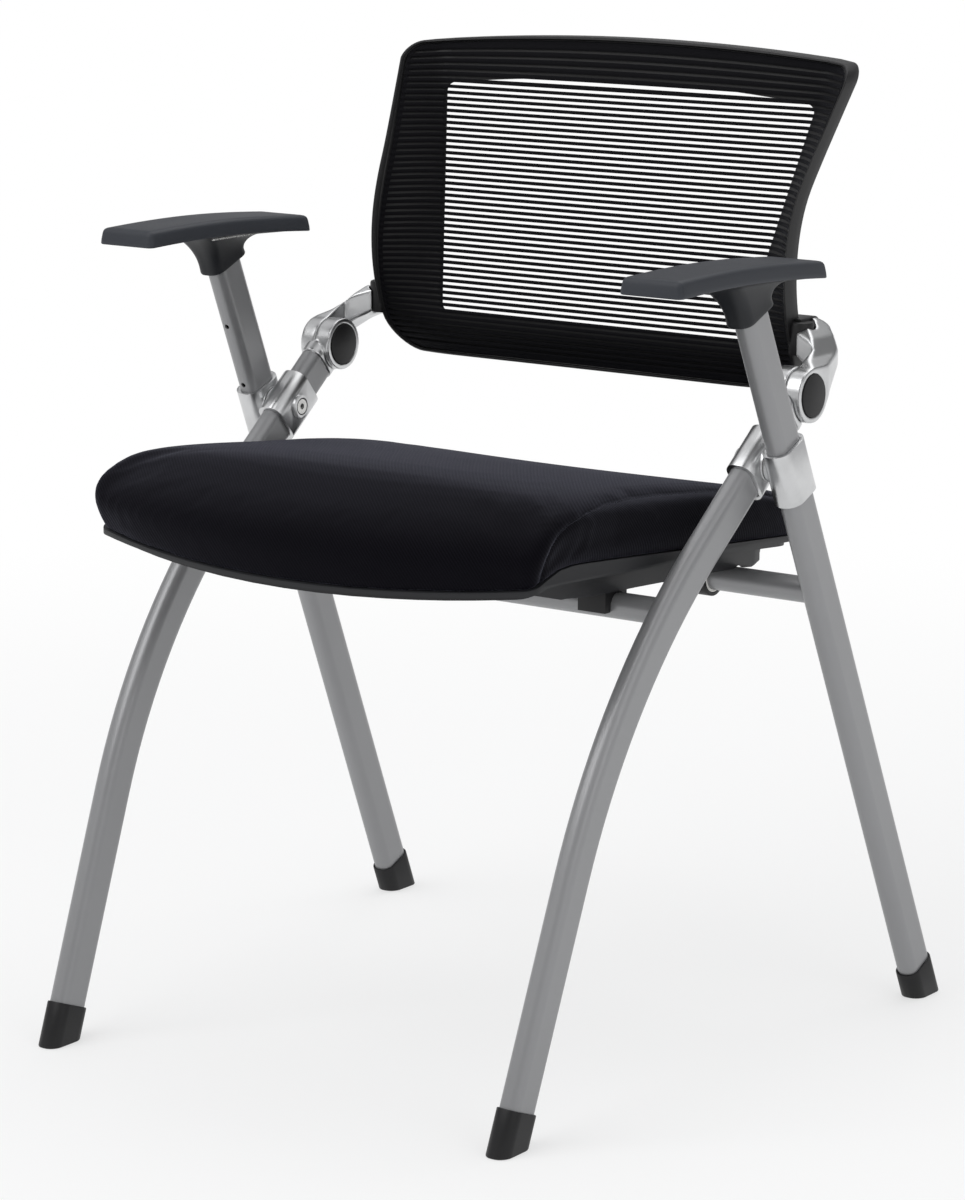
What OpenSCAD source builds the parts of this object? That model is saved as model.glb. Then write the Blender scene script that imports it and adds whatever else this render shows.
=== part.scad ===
// Folding nesting chair with a flip-up upholstered seat, a mesh back and fixed armrests.
// Frame: the origin lies on the floor under the middle of the chair. +Z is up, the sitter
// faces -Y, and +X is the side of the sitter's left hand.

/* [Stance] */
// Distance from the middle of the chair to the outermost edge of a foot, front to back
foot_reach = 294.5; // [280:0.5:310]
// Distance from the seat's side out to the middle of the front foot
leg_clear = 11.7; // [10:0.1:14]
// Height of the pivot where the legs cross
pivot_z = 500; // [490:1:515]
// Distance of that pivot behind the middle of the chair
pivot_y = 60; // [52:1:68]
// Outward lean of the front legs
front_splay = 1.35; // [1:0.05:1.6]
// Inward lean of the rear legs
rear_splay = 1.5; // [1.2:0.05:1.7]

/* [Leg tubes] */
// Width of the oval leg tube, across the chair
tube_w = 19; // [17:0.5:20]
// Depth of the oval leg tube
tube_d = 34; // [30:0.5:36]
// Corner radius of the oval leg tube
tube_r = 8.5; // [7:0.5:9]
// Wall of the leg tube
tube_wall = 1.6; // [1.2:0.1:2]
// Lean of the front leg at the floor
low_lean = 21.5; // [19:0.5:24]
// Lean of the front leg above its bend
high_lean = 51.8; // [49:0.2:54]
// Radius of the bend in the front leg
bend_r = 558; // [480:1:600]
// Depth of the post's end below the armrest's top
post_drop = 25; // [20:1:30]

/* [Cross tubes] */
// Diameter of the two cross tubes
cross_d = 22; // [18:0.5:24]
// Wall of the cross tubes
cross_wall = 1.8; // [1.2:0.1:2.5]
// Height of the front cross tube's axis
front_cross_z = 396; // [390:1:404]
// Height of the rear cross tube's axis, which is the seat's hinge
rear_cross_z = 387.5; // [382:0.5:392]

/* [Feet] */
// Wall of the plastic foot cap
foot_wall = 1.9; // [1.4:0.1:3]
// Height of the foot cap along the leg
foot_h = 33; // [26:1:42]
// Thickness of the foot cap's sole
foot_sole = 6; // [4:0.5:9]

/* [Leg joint castings] */
// Wall of the sleeve on the front leg
sleeve_wall = 3.5; // [3:0.1:4]
// Length of the sleeve on the front leg
sleeve_len = 46; // [44:1:54]
// Wall of the collar on the rear leg
collar_wall = 3.6; // [3:0.1:4]
// Length of the collar above the pivot
collar_up = 20; // [18:1:26]
// Length of the collar below the pivot
collar_down = 28; // [26:1:40]
// Diameter of the pivot bolt
bolt_d = 8; // [6:0.5:10]
// Gap between the sleeve and the collar, where the bosses and the washer run
joint_gap = 4.12; // [4:0.02:5]

/* [Back hinge] */
// Distance from the leg pivot to the back's hinge, along the leg
hub_reach = 78; // [76:1:84]
// Radius of the hinge discs
hub_r = 23; // [21:0.5:24]
// Distance from the seat's side out to the hinge's inner face
hub_clear = 8.5; // [7:0.5:11]
// Width of the hinge, across both discs
hub_width = 31.5; // [29:0.5:32]
// Radius of the black caps
hub_cap_r = 18; // [16:0.5:19]
// Radius of the hinge pin
hub_pin_r = 6; // [5:0.5:7]

/* [Armrests] */
// Height of the armrest's top at its front
arm_top_z = 673; // [668:1:680]
// Length of the armrest
arm_len = 219; // [200:1:230]
// Width of the armrest
arm_w = 59; // [52:1:64]
// Distance of the armrest's front end ahead of the middle of the chair
arm_front = 133; // [125:1:140]
// Thickness of the armrest pad
arm_thick = 14; // [12:0.5:18]
// Wall of the armrest's neck round the post
neck_wall = 3; // [2:0.5:4]

/* [Seat] */
// Half width of the seat
seat_half_w = 221; // [212:1:223]
// Distance of the seat's front corners ahead of the middle of the chair
seat_front = 222; // [215:1:230]
// Distance of the seat's rear edge behind the middle of the chair
seat_rear = 190; // [180:1:194]
// How far the front edge bulges ahead of its corners
seat_bulge = 40; // [20:1:45]
// Height of the seat pan's rim where it bends down at the front
rim_z = 451; // [447:1:455]
// Height of the cushion's edge above the rim
cushion_h = 38; // [30:1:44]
// Crown of the cushion above its edge
cushion_crown = 7; // [4:1:12]

/* [Back] */
// Height of the back's lower edge
back_low_z = 539; // [535:1:545]
// Height of the back's upper corners
back_top_z = 812; // [800:1:820]
// How much narrower than the seat the back's half width is at its waist
back_step_in = 5; // [3:0.5:8]
// Height of the middle of the upper edge above its corners
back_arch = 10; // [4:1:14]
// Number of open rows in the mesh
mesh_rows = 37; // [30:1:42]
// Depth of the back frame's outer wall
back_depth = 19; // [15:1:22]

/* [Hidden] */
$fn = 48;
section_fn = 48;
bend_fn = 240;

// Colours, as photographed
tube_color = [0.63, 0.63, 0.62];
alloy_color = [0.80, 0.80, 0.80];
steel_color = [0.70, 0.70, 0.71];
plastic_color = [0.17, 0.17, 0.19];
fabric_color = [0.09, 0.09, 0.12];
wood_color = [0.72, 0.58, 0.40];
nylon_color = [0.88, 0.87, 0.84];

// One overrun for all cuts, and the clearances
over = 1;
fit_gap = 0.1;
run_gap = 0.05;
face_gap = 0.3;
weld_gap = 0.02;

// The straights of the front leg end this far inside its bend, a hair thinner
join_bite = 0.5;
join_step = 0.01;

// Derived places: leg lines, cross tubes and the back's hinge
front_foot_x = seat_half_w + leg_clear;
front_pivot_x = front_foot_x + pivot_z * tan(front_splay);
rear_pivot_x = front_pivot_x + tube_w + sleeve_wall + collar_wall + joint_gap;
rear_foot_x = rear_pivot_x + pivot_z * tan(rear_splay);
foot_half_d = tube_d / 2 + foot_wall;
front_foot_y = -foot_reach + foot_half_d / cos(low_lean);
rear_lean = acos(foot_half_d / norm([foot_reach - pivot_y, pivot_z])) - atan2(pivot_z, foot_reach - pivot_y);
rear_foot_y = pivot_y + pivot_z * tan(rear_lean);
hub_y = pivot_y + hub_reach * sin(high_lean);
hub_z = pivot_z + hub_reach * cos(high_lean);
bend_corner_z = (pivot_y - pivot_z * tan(high_lean) - front_foot_y) / (tan(low_lean) - tan(high_lean));
bend_corner_y = front_foot_y + bend_corner_z * tan(low_lean);
bend_tangent = bend_r * tan((high_lean - low_lean) / 2);
low_len = bend_corner_z / cos(low_lean) - bend_tangent;
high_len = (pivot_z - bend_corner_z) / cos(high_lean) - bend_tangent;
bend_center = [bend_corner_y - bend_tangent * sin(low_lean) + bend_r * cos(low_lean),
               bend_corner_z - bend_tangent * cos(low_lean) - bend_r * sin(low_lean)];
front_cross_angle = asin((front_cross_z - bend_center[1]) / bend_r);
front_cross_y = bend_center[0] - bend_r * cos(front_cross_angle);
rear_cross_y = rear_foot_y - rear_cross_z * tan(rear_lean);
rear_cross_x = rear_foot_x - rear_cross_z * tan(rear_splay);

// Leg joint: the sleeve on the front leg and the collar on the rear leg
sleeve_r = 11;
collar_r = 12;
boss_r = 15;
boss_in_r = 11;
boss_in_h = 2.6;
boss_share = 0.33;
boss_h = joint_gap * boss_share;
washer_t = joint_gap * (1 - 2 * boss_share) - 2 * face_gap;
washer_r = 13;
bolt_head_r = 6.6;
bolt_head_h = 3.4;
bolt_recess_r = 7.6;
bolt_socket_r = 2.9;
bolt_socket_depth = 2.2;
bolt_len_past = 7.5;
nut_across = 13;
nut_h = 5.5;
inner_face_x = front_pivot_x - tube_w / 2 - sleeve_wall;
boss_in_x = inner_face_x - boss_in_h;
sleeve_outer_x = front_pivot_x + tube_w / 2 + sleeve_wall;
collar_inner_x = rear_pivot_x - tube_w / 2 - collar_wall;

// Back hinge
hub_inner_x = seat_half_w + hub_clear;
hub_outer_x = hub_inner_x + hub_width;
hub_mid_x = (hub_outer_x + hub_inner_x) / 2;
cap_depth = 3;
cap_proud = 0.5;
pin_inset = 4.6;
spring_room_r = 15.5;
spring_r = 14.6;
spring_core_r = 7.4;
spring_turns = 4;
spring_strip = 0.8;
spring_h = 4;
knuckle_rim = 27;
knuckle_wall = 1.4;
spigot_len = 26;
knuckle_neck_r = 10.2;

// Armrest
arm_inset = 4.7;
arm_x = rear_foot_x - arm_top_z * tan(rear_splay) - arm_inset;
arm_corner = 9;
arm_steps = 14;
arm_fall = 6.5;
arm_arch_share = 0.35;
arm_bottom_z = arm_top_z - arm_thick;
post_top_z = arm_top_z - post_drop;
neck_len = 29;
neck_bottom_z = arm_bottom_z - neck_len;
plate_t = 3;
plate_slack = 0.5;
plate_len = 70;
plate_w = 40;
arm_screw_r = 2.5;
arm_screw_head_r = 4.5;
arm_screw_head_h = 2.5;
arm_screw_bite = 8;
arm_screw_gap = 46;
hole_r = 2.3;
hole_high_z = 580;
hole_low_z = 525;

// Seat
rim_slope = 0.093;
lip_slope = 0.37;
lip_round = 3;
rim_bend = 38;
tip_slope = 0.27;
tip_drop = 14.2;
tip_round = 1;
skirt_drop = 18;
skirt_lip_slope = 0.26;
skirt_side_slope = 0.066;
skirt_bend = 91;
skirt_round = 1;
floor_slope = 0.043;
front_corner_r = 12;
rear_corner_r = 25;
corner_share = 0.8;
corner_most_share = 0.4;
rear_taper = 0.03;
pan_h = 12;
strip_w = 6;
ledge_t = 2.5;
pan_wall = 3;
pan_inset = 18;
pan_front_rise = 10;
pan_front_slant = 45;
cheek_w = 8;
cheek_drop = 12;
cheek_play = 1.5;
board_t = 7;
board_inset = 8;
bush_wall = 2;
ring_wall = 3.5;
bracket_w = 28;
bracket_inset = 61;
bracket_x = seat_half_w - bracket_inset;
bracket_screw_share = 0.33;
bracket_len = 58;
bracket_t = 4;
rest_inset = 40;
rest_x = seat_half_w - rest_inset;
rest_w = 27;
rest_lip = 8;
rest_drop = 4;
rest_back = 12;
ring_bite = 2;
ring_r = cross_d / 2 + bush_wall + ring_wall;
seat_floor_z = rear_cross_z + ring_r + bracket_t - ring_bite;
seat_screw_r = 2.5;
seat_screw_head_r = 5;
seat_screw_head_h = 2.4;
seat_nut_r = 8;
seat_nut_t = 1.5;
seat_nut_sink = seat_nut_r * rim_slope;
seat_boss_r = 8;
seat_screw_inset = 101;
seat_screw_x = seat_half_w - seat_screw_inset;
seat_screw_front = 130;
seat_screw_rear = 62;
bracket_bore_h = 1.4;
pan_front = seat_front - pan_inset;
pan_rear = seat_rear - pan_inset;
pan_slant_share = 0.55;
cushion_drop = 4;
front_fall_len = 92;
front_fall_share = 0.25;
rear_fall_len = 130;
rear_fall_share = 0.36;
rear_dish = 4;

// Back
waist_y = 146;
waist_z = 640;
waist_r = 150;
back_lean = 29;
flare_z = 705;
flare_slope = 0.172;
flare_round = 2;
window_low_z = 579;
window_top_z = 776;
back_half_w = seat_half_w - back_step_in;
side_band_w = 59.5;
window_half_w = back_half_w - side_band_w;
window_slope = 0.188;
plane_y = 166.3;
plane_slope = 0.3;
hook_slope = -0.35;
hook_z = 570;
hook_y = 164;
hook_round = 3;
wrap_power = 1.4;
low_corner_r = 34;
top_corner_r = 15;
window_corner_r = 8;
lip_w = 4;
lip_proud = 2;
flange_t = 3.4;
mesh_t = 1;
mesh_gap = 1.5;
mesh_columns = 9;
mesh_open_share = 0.42;

function unit(v) = v / norm(v);

// Smooth lower and upper envelopes of two values
function soft_min(a, b, s) = (a + b) / 2 - sqrt(pow((a - b) / 2, 2) + s * s);
function soft_max(a, b, s) = (a + b) / 2 + sqrt(pow((a - b) / 2, 2) + s * s);

// Points of an outline whose corners are rounded: each corner is [x, y, radius]
function corner_arc(a, b, c, r, n) =
    let (u = unit(a - b), v = unit(c - b),
         half = acos(max(-1, min(1, u * v))) / 2,
         mid = b + unit(u + v) * r / sin(half),
         p = b + u * r / tan(half) - mid,
         q = b + v * r / tan(half) - mid,
         start = atan2(p[1], p[0]),
         turn = (atan2(q[1], q[0]) - start + 540) % 360 - 180)
    [for (i = [0:n]) mid + r * [cos(start + turn * i / n), sin(start + turn * i / n)]];
function rounded(c, n = 6) =
    let (m = len(c))
    [for (k = [0:m - 1])
        let (b = c[k], a = c[(k + m - 1) % m], d = c[(k + 1) % m])
        each (b[2] == 0 ? [[b[0], b[1]]]
              : corner_arc([a[0], a[1]], [b[0], b[1]], [d[0], d[1]], b[2], n))];

module on_side(side) {
    if (side > 0) children();
    else mirror([1, 0, 0]) children();
}

// An outline in the YZ plane, extruded along X from x0 to x1
module side_extrude(x0, x1) {
    translate([x0, 0, 0]) rotate([90, 0, 90]) linear_extrude(x1 - x0) children();
}

// Oval section: w along X, d along Y
module oval(w, d, r) {
    square([w - 2 * r, d], center = true);
    square([w, d - 2 * r], center = true);
    for (sx = [-1, 1], sy = [-1, 1])
        translate([sx * (w / 2 - r), sy * (d / 2 - r)]) circle(r);
}

// A rod along +X from x0 to x1 at the height and depth given
module rod_x(x0, x1, y, z, r) {
    translate([x0, y, z]) rotate([0, 90, 0]) cylinder(h = x1 - x0, r = r);
}

// Front leg: places and shapes in the plane of the leg
module front_plane() {
    translate([front_foot_x, 0, 0]) rotate([0, front_splay, 0]) children();
}

// Solid shape of the front leg, grown by the given gap
module front_leg_path(grow, from, to) {
    low_leg(from) leg_section(grow);
    leg_bend() rotate(90) leg_section(grow);
    high_leg(-high_len, to) leg_section(grow);
}

module leg_section(grow) {
    oval(tube_w + 2 * grow, tube_d + 2 * grow, tube_r + grow, $fn = section_fn);
}

module leg_ring(grow = 0) {
    difference() {
        leg_section(grow);
        leg_section(-grow - tube_wall);
    }
}

// Straight lower part of the front leg, measured from the floor
module low_leg(from, past = 0) {
    translate([0, front_foot_y, 0]) rotate([-low_lean, 0, 0])
        translate([0, 0, from]) linear_extrude(low_len + past - from) children();
}

module leg_bend() {
    translate([0, bend_center[0], bend_center[1]]) rotate([90, 0, -90]) rotate([0, 0, low_lean])
        rotate_extrude(angle = high_lean - low_lean, $fn = bend_fn) translate([bend_r, 0]) children();
}

// Straight upper part of the front leg, measured from the pivot
module high_leg(from, to) {
    translate([0, pivot_y, pivot_z]) rotate([-high_lean, 0, 0])
        translate([0, 0, from]) linear_extrude(to - from) children();
}

module front_leg(side) {
    color(tube_color) on_side(side) difference() {
        front_plane() {
            low_leg(-tube_d, join_bite) leg_ring(-join_step);
            leg_bend() rotate(90) leg_ring();
            high_leg(-high_len - join_bite, hub_reach - knuckle_rim) leg_ring(-join_step);
        }
        translate([0, front_foot_y - 2 * tube_d, foot_sole - 4 * tube_d])
            cube([2 * front_foot_x, 4 * tube_d, 4 * tube_d]);
        rod_x(boss_in_x - over, sleeve_outer_x + over, pivot_y, pivot_z, bolt_d / 2 + fit_gap);
    }
}

module front_foot(side) {
    color(plastic_color) on_side(side) difference() {
        intersection() {
            front_plane() translate([0, front_foot_y, 0]) rotate([-low_lean, 0, 0])
                translate([0, 0, -tube_d]) linear_extrude(foot_h + tube_d)
                    oval(tube_w + 2 * foot_wall, tube_d + 2 * foot_wall, tube_r + foot_wall);
            translate([0, front_foot_y - 2 * tube_d, 0]) cube([2 * front_foot_x, 4 * tube_d, 4 * tube_d]);
        }
        intersection() {
            front_plane() translate([0, front_foot_y, 0]) rotate([-low_lean, 0, 0])
                translate([0, 0, -tube_d]) linear_extrude(foot_h + tube_d + over)
                    oval(tube_w + 2 * fit_gap, tube_d + 2 * fit_gap, tube_r + fit_gap);
            translate([0, front_foot_y - 2 * tube_d, foot_sole - fit_gap])
                cube([2 * front_foot_x, 4 * tube_d, 4 * tube_d]);
        }
    }
}

module front_cross_tube() {
    color(tube_color) difference() {
        rod_x(-front_foot_x, front_foot_x, front_cross_y, front_cross_z, cross_d / 2);
        rod_x(-front_foot_x - over, front_foot_x + over, front_cross_y, front_cross_z,
              cross_d / 2 - cross_wall);
        for (side = [-1, 1]) on_side(side)
            front_plane() front_leg_path(weld_gap, tube_d, 0);
    }
}

// Sleeve on the front leg, with a boss on each face for the pivot bolt
module leg_sleeve(side) {
    color(alloy_color) on_side(side) difference() {
        union() {
            front_plane() translate([0, pivot_y, pivot_z]) rotate([-high_lean, 0, 0])
                translate([0, 0, -sleeve_len / 2]) linear_extrude(sleeve_len)
                    oval(tube_w + 2 * sleeve_wall, tube_d + 2 * sleeve_wall, sleeve_r);
            rod_x(front_pivot_x, sleeve_outer_x + boss_h, pivot_y, pivot_z, boss_r);
            rod_x(boss_in_x, front_pivot_x, pivot_y, pivot_z, boss_in_r);
        }
        front_plane() high_leg(-sleeve_len, sleeve_len) leg_section(fit_gap);
        rod_x(boss_in_x - over, sleeve_outer_x + boss_h + over, pivot_y, pivot_z,
              bolt_d / 2 + fit_gap);
        rod_x(boss_in_x - over, boss_in_x + bolt_head_h, pivot_y, pivot_z, bolt_recess_r);
    }
}

module pivot_bolts() {
    color(steel_color) for (side = [-1, 1]) on_side(side) difference() {
        union() {
            rod_x(boss_in_x + fit_gap, boss_in_x + bolt_head_h - run_gap, pivot_y, pivot_z, bolt_head_r);
            rod_x(boss_in_x + fit_gap, rear_pivot_x - tube_w / 2 + tube_wall + bolt_len_past,
                  pivot_y, pivot_z, bolt_d / 2);
        }
        rod_x(boss_in_x - over, boss_in_x + bolt_socket_depth, pivot_y, pivot_z, bolt_socket_r, $fn = 6);
    }
}

// Lower half of the back's hinge: a spigot in the leg and a disc on the inner side
module hinge_knuckle(side) {
    color(alloy_color) on_side(side) difference() {
        union() {
            front_plane() translate([0, pivot_y, pivot_z]) rotate([-high_lean, 0, 0]) {
                translate([0, 0, hub_reach - knuckle_rim - spigot_len])
                    linear_extrude(spigot_len + over)
                        oval(tube_w - 2 * tube_wall - 2 * fit_gap, tube_d - 2 * tube_wall - 2 * fit_gap,
                             tube_r - tube_wall - fit_gap);
                translate([0, 0, hub_reach - knuckle_rim + fit_gap]) linear_extrude(knuckle_rim)
                    oval(tube_w + 2 * knuckle_wall, tube_d + 2 * knuckle_wall, knuckle_neck_r);
            }
            rod_x(hub_inner_x, hub_mid_x, hub_y, hub_z, hub_r);
        }
        rod_x(hub_mid_x - face_gap / 2, hub_outer_x + over, hub_y, hub_z, hub_r + face_gap);
        rod_x(hub_inner_x - over, hub_inner_x + cap_depth, hub_y, hub_z, hub_cap_r + run_gap);
        rod_x(hub_mid_x - spring_h - face_gap, hub_mid_x + over, hub_y, hub_z, spring_room_r);
        rod_x(hub_inner_x - over, hub_outer_x, hub_y, hub_z, hub_pin_r + run_gap);
        rod_x(hub_outer_x, hub_outer_x + 2 * tube_w, hub_y, hub_z, 2 * hub_r);
        rod_x(hub_inner_x - 2 * tube_w, hub_inner_x, hub_y, hub_z, 2 * hub_r);
    }
}

module hinge_pins() {
    color(steel_color) for (side = [-1, 1]) on_side(side)
        rod_x(hub_inner_x + pin_inset, hub_outer_x - pin_inset, hub_y, hub_z, hub_pin_r);
}

// Flat spiral spring round each hinge pin
function spiral_point(turn_share, r_shift) =
    let (r = spring_core_r + (spring_r - spring_core_r - spring_strip) * turn_share + r_shift,
         a = 360 * spring_turns * turn_share)
    [r * cos(a), r * sin(a)];
module hinge_springs() {
    steps = 18 * spring_turns;
    color(steel_color) for (side = [-1, 1]) on_side(side)
        translate([hub_mid_x - spring_h, hub_y, hub_z]) rotate([0, 90, 0])
            linear_extrude(spring_h - face_gap)
                polygon(concat([for (i = [0:steps]) spiral_point(i / steps, 0)],
                               [for (i = [steps:-1:0]) spiral_point(i / steps, spring_strip)]));
}

module hub_cap(x0, x1) {
    rod_x(x0, x1, hub_y, hub_z, hub_cap_r);
}

module inner_hub_caps() {
    color(plastic_color) for (side = [-1, 1]) on_side(side)
        hub_cap(hub_inner_x - cap_proud, hub_inner_x + cap_depth - run_gap);
}

module outer_hub_caps() {
    color(plastic_color) for (side = [-1, 1]) on_side(side)
        hub_cap(hub_outer_x - cap_depth + run_gap, hub_outer_x + cap_proud);
}

// Rear leg, which runs on upwards as the armrest's post
module rear_plane() {
    translate([rear_foot_x, rear_foot_y, 0]) rotate([0, -rear_splay, 0]) rotate([rear_lean, 0, 0])
        children();
}

module rear_leg_path(grow, from, to) {
    rear_plane() translate([0, 0, from]) linear_extrude(to - from)
        oval(tube_w + 2 * grow, tube_d + 2 * grow, tube_r + grow);
}

function along_rear(z) = z / cos(rear_lean);

module rear_leg(side) {
    color(tube_color) on_side(side) difference() {
        rear_leg_path(0, -tube_d, along_rear(post_top_z));
        rear_leg_path(-tube_wall, -tube_d - over, along_rear(post_top_z) + over);
        translate([0, rear_foot_y - 2 * tube_d, foot_sole - 4 * tube_d])
            cube([2 * rear_foot_x, 4 * tube_d, 4 * tube_d]);
        rod_x(collar_inner_x - over, rear_pivot_x, pivot_y, pivot_z, bolt_d / 2 + run_gap);
        if (side < 0) for (z = [hole_low_z, hole_high_z])
            rear_plane() translate([0, 0, along_rear(z)]) rotate([90, 0, 0])
                cylinder(h = tube_d / 2 + over, r = hole_r);
    }
}

module rear_foot(side) {
    color(plastic_color) on_side(side) difference() {
        intersection() {
            rear_leg_path(foot_wall, -tube_d, foot_h);
            translate([0, rear_foot_y - 2 * tube_d, 0]) cube([2 * rear_foot_x, 4 * tube_d, 4 * tube_d]);
        }
        intersection() {
            rear_leg_path(fit_gap, -tube_d, foot_h + over);
            translate([0, rear_foot_y - 2 * tube_d, foot_sole - fit_gap])
                cube([2 * rear_foot_x, 4 * tube_d, 4 * tube_d]);
        }
    }
}

module rear_cross_tube() {
    color(tube_color) difference() {
        rod_x(-rear_cross_x, rear_cross_x, rear_cross_y, rear_cross_z, cross_d / 2);
        rod_x(-rear_foot_x, rear_foot_x, rear_cross_y, rear_cross_z, cross_d / 2 - cross_wall);
        for (side = [-1, 1]) on_side(side)
            rear_leg_path(weld_gap, tube_d, along_rear(pivot_z));
    }
}

module leg_collar(side) {
    pivot_along = along_rear(pivot_z);
    color(alloy_color) on_side(side) difference() {
        union() {
            rear_plane() translate([0, 0, pivot_along - collar_down])
                linear_extrude(collar_down + collar_up)
                    oval(tube_w + 2 * collar_wall, tube_d + 2 * collar_wall, collar_r);
            rod_x(collar_inner_x - boss_h, rear_pivot_x, pivot_y, pivot_z, boss_r);
        }
        rear_leg_path(fit_gap, pivot_along - 2 * collar_down, pivot_along + 2 * collar_up);
        rod_x(collar_inner_x - boss_h - over, rear_pivot_x, pivot_y, pivot_z, bolt_d / 2 + run_gap);
    }
}

module pivot_washers() {
    color(nylon_color) for (side = [-1, 1]) on_side(side) difference() {
        rod_x(sleeve_outer_x + boss_h + face_gap, sleeve_outer_x + boss_h + face_gap + washer_t,
              pivot_y, pivot_z, washer_r);
        rod_x(sleeve_outer_x, collar_inner_x, pivot_y, pivot_z, bolt_d / 2 + run_gap);
    }
}

module pivot_nuts() {
    x0 = rear_pivot_x - tube_w / 2 + tube_wall + fit_gap + nut_across * tan(rear_splay) / 2;
    color(steel_color) for (side = [-1, 1]) on_side(side) difference() {
        rod_x(x0, x0 + nut_h, pivot_y, pivot_z, nut_across / sqrt(3), $fn = 6);
        rod_x(x0 - over, x0 + nut_h + over, pivot_y, pivot_z, bolt_d / 2 + run_gap);
    }
}

// Armrest: a neck that grips the post and a pad that is screwed on it
function arm_share(y) = (y + arm_front) / arm_len;
function arm_top(y) = arm_top_z - arm_fall * pow(max(0, arm_share(y)), 2)
    + arm_fall * arm_arch_share * sin(180 * max(0, min(1, arm_share(y))));

module arm_strip(low, high) {
    ys = [for (i = [0:arm_steps]) -arm_front - over + (arm_len + 2 * over) * i / arm_steps];
    polygon(concat([for (y = ys) [y, arm_top(y) + high]],
                   [for (i = [arm_steps:-1:0]) [ys[i], arm_top(ys[i]) + low]]));
}

module arm_plan(inset) {
    x0 = arm_x - arm_w / 2 + inset;
    x1 = arm_x + arm_w / 2 - inset;
    y0 = -arm_front + inset;
    y1 = -arm_front + arm_len - inset;
    r = arm_corner - inset;
    polygon(rounded([[x0, y0, r], [x1, y0, r], [x1, y1, r], [x0, y1, r]]));
}

neck_side_shares = [[0, 0], [0.08, 0.35], [0.3, 0.72], [0.75, 0.94], [1, 1]];
neck_front_flare = 30;
neck_rear_flare = 36;
neck_in_flare = 20;
neck_out_flare = 11;

module arm_neck(side) {
    axis_x = rear_foot_x - neck_bottom_z * tan(rear_splay);
    axis_y = rear_foot_y - neck_bottom_z * tan(rear_lean);
    top_z = arm_bottom_z + over;
    rise = top_z - neck_bottom_z;
    half_d = (tube_d / 2 + neck_wall) / cos(rear_lean);
    half_w = tube_w / 2 + neck_wall;
    shift = rise * tan(rear_lean);
    lean_x = rise * tan(rear_splay);
    n = len(neck_side_shares);
    front_line = [for (s = neck_side_shares)
        [axis_y - half_d - shift * s[1] - neck_front_flare * s[0], neck_bottom_z + rise * s[1]]];
    rear_line = [for (s = neck_side_shares)
        [axis_y + half_d - shift * s[1] + neck_rear_flare * s[0] + shift * s[0],
         neck_bottom_z + rise * s[1]]];
    in_line = [for (s = neck_side_shares)
        [axis_x - half_w - lean_x * s[1] - neck_in_flare * s[0], neck_bottom_z + rise * s[1]]];
    out_line = [for (s = neck_side_shares)
        [axis_x + half_w - lean_x * s[1] + neck_out_flare * s[0], neck_bottom_z + rise * s[1]]];
    drop = half_d * tan(rear_lean);
    color(plastic_color) on_side(side) difference() {
        intersection() {
            side_extrude(arm_x - arm_w, arm_x + arm_w)
                polygon(concat([[axis_y - half_d, neck_bottom_z - drop]], front_line,
                               [for (i = [n - 1:-1:0]) rear_line[i]],
                               [[axis_y + half_d, neck_bottom_z - drop]]));
            translate([0, axis_y + tube_d * 3, 0]) rotate([90, 0, 0]) linear_extrude(6 * tube_d)
                polygon(concat([[in_line[0][0], neck_bottom_z - drop]], in_line,
                               [for (i = [n - 1:-1:0]) out_line[i]],
                               [[out_line[0][0], neck_bottom_z - drop]]));
            side_extrude(arm_x - arm_w, arm_x + arm_w) arm_strip(-6 * arm_thick, -arm_thick);
            rear_plane() translate([-2 * tube_d, -2 * tube_d, along_rear(neck_bottom_z)])
                cube([4 * tube_d, 4 * tube_d, 4 * tube_d]);
        }
        rear_leg_path(fit_gap, along_rear(neck_bottom_z) - over, along_rear(post_top_z) + fit_gap);
        arm_plate_shape(fit_gap);
        arm_screw_shape(run_gap, arm_thick);
    }
}

post_axis_y = rear_foot_y - post_top_z * tan(rear_lean);

// Steel plate on top of the post, between the neck and the pad
module arm_plate_shape(grow) {
    translate([arm_x - plate_w / 2 - grow, post_axis_y - plate_len / 2 - grow,
               arm_top(post_axis_y) - arm_thick - plate_t - grow])
        cube([plate_w + 2 * grow, plate_len + 2 * grow, plate_t + 2 * grow + over]);
}

module arm_plates() {
    color(steel_color) for (side = [-1, 1]) on_side(side) difference() {
        translate([arm_x - plate_w / 2, post_axis_y - plate_len / 2,
                   arm_top(post_axis_y) - arm_thick - plate_t])
            cube([plate_w, plate_len, plate_t - plate_slack]);
        arm_screw_shape(run_gap, arm_thick);
    }
}

// Screws that hold the pad down through the plate; a bore runs on below the head by the depth given
module arm_screw_shape(grow, bore) {
    plate_z = arm_top(post_axis_y) - arm_thick - plate_t;
    for (s = [-1, 1]) translate([arm_x, post_axis_y + s * arm_screw_gap / 2, plate_z]) {
        translate([0, 0, -arm_screw_head_h])
            cylinder(h = arm_screw_head_h + plate_t + arm_screw_bite, r = arm_screw_r + grow);
        translate([0, 0, -arm_screw_head_h - bore])
            cylinder(h = arm_screw_head_h - run_gap + grow + bore, r = arm_screw_head_r + grow);
    }
}

module arm_screws() {
    color(steel_color) for (side = [-1, 1]) on_side(side) arm_screw_shape(0, 0);
}

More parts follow.
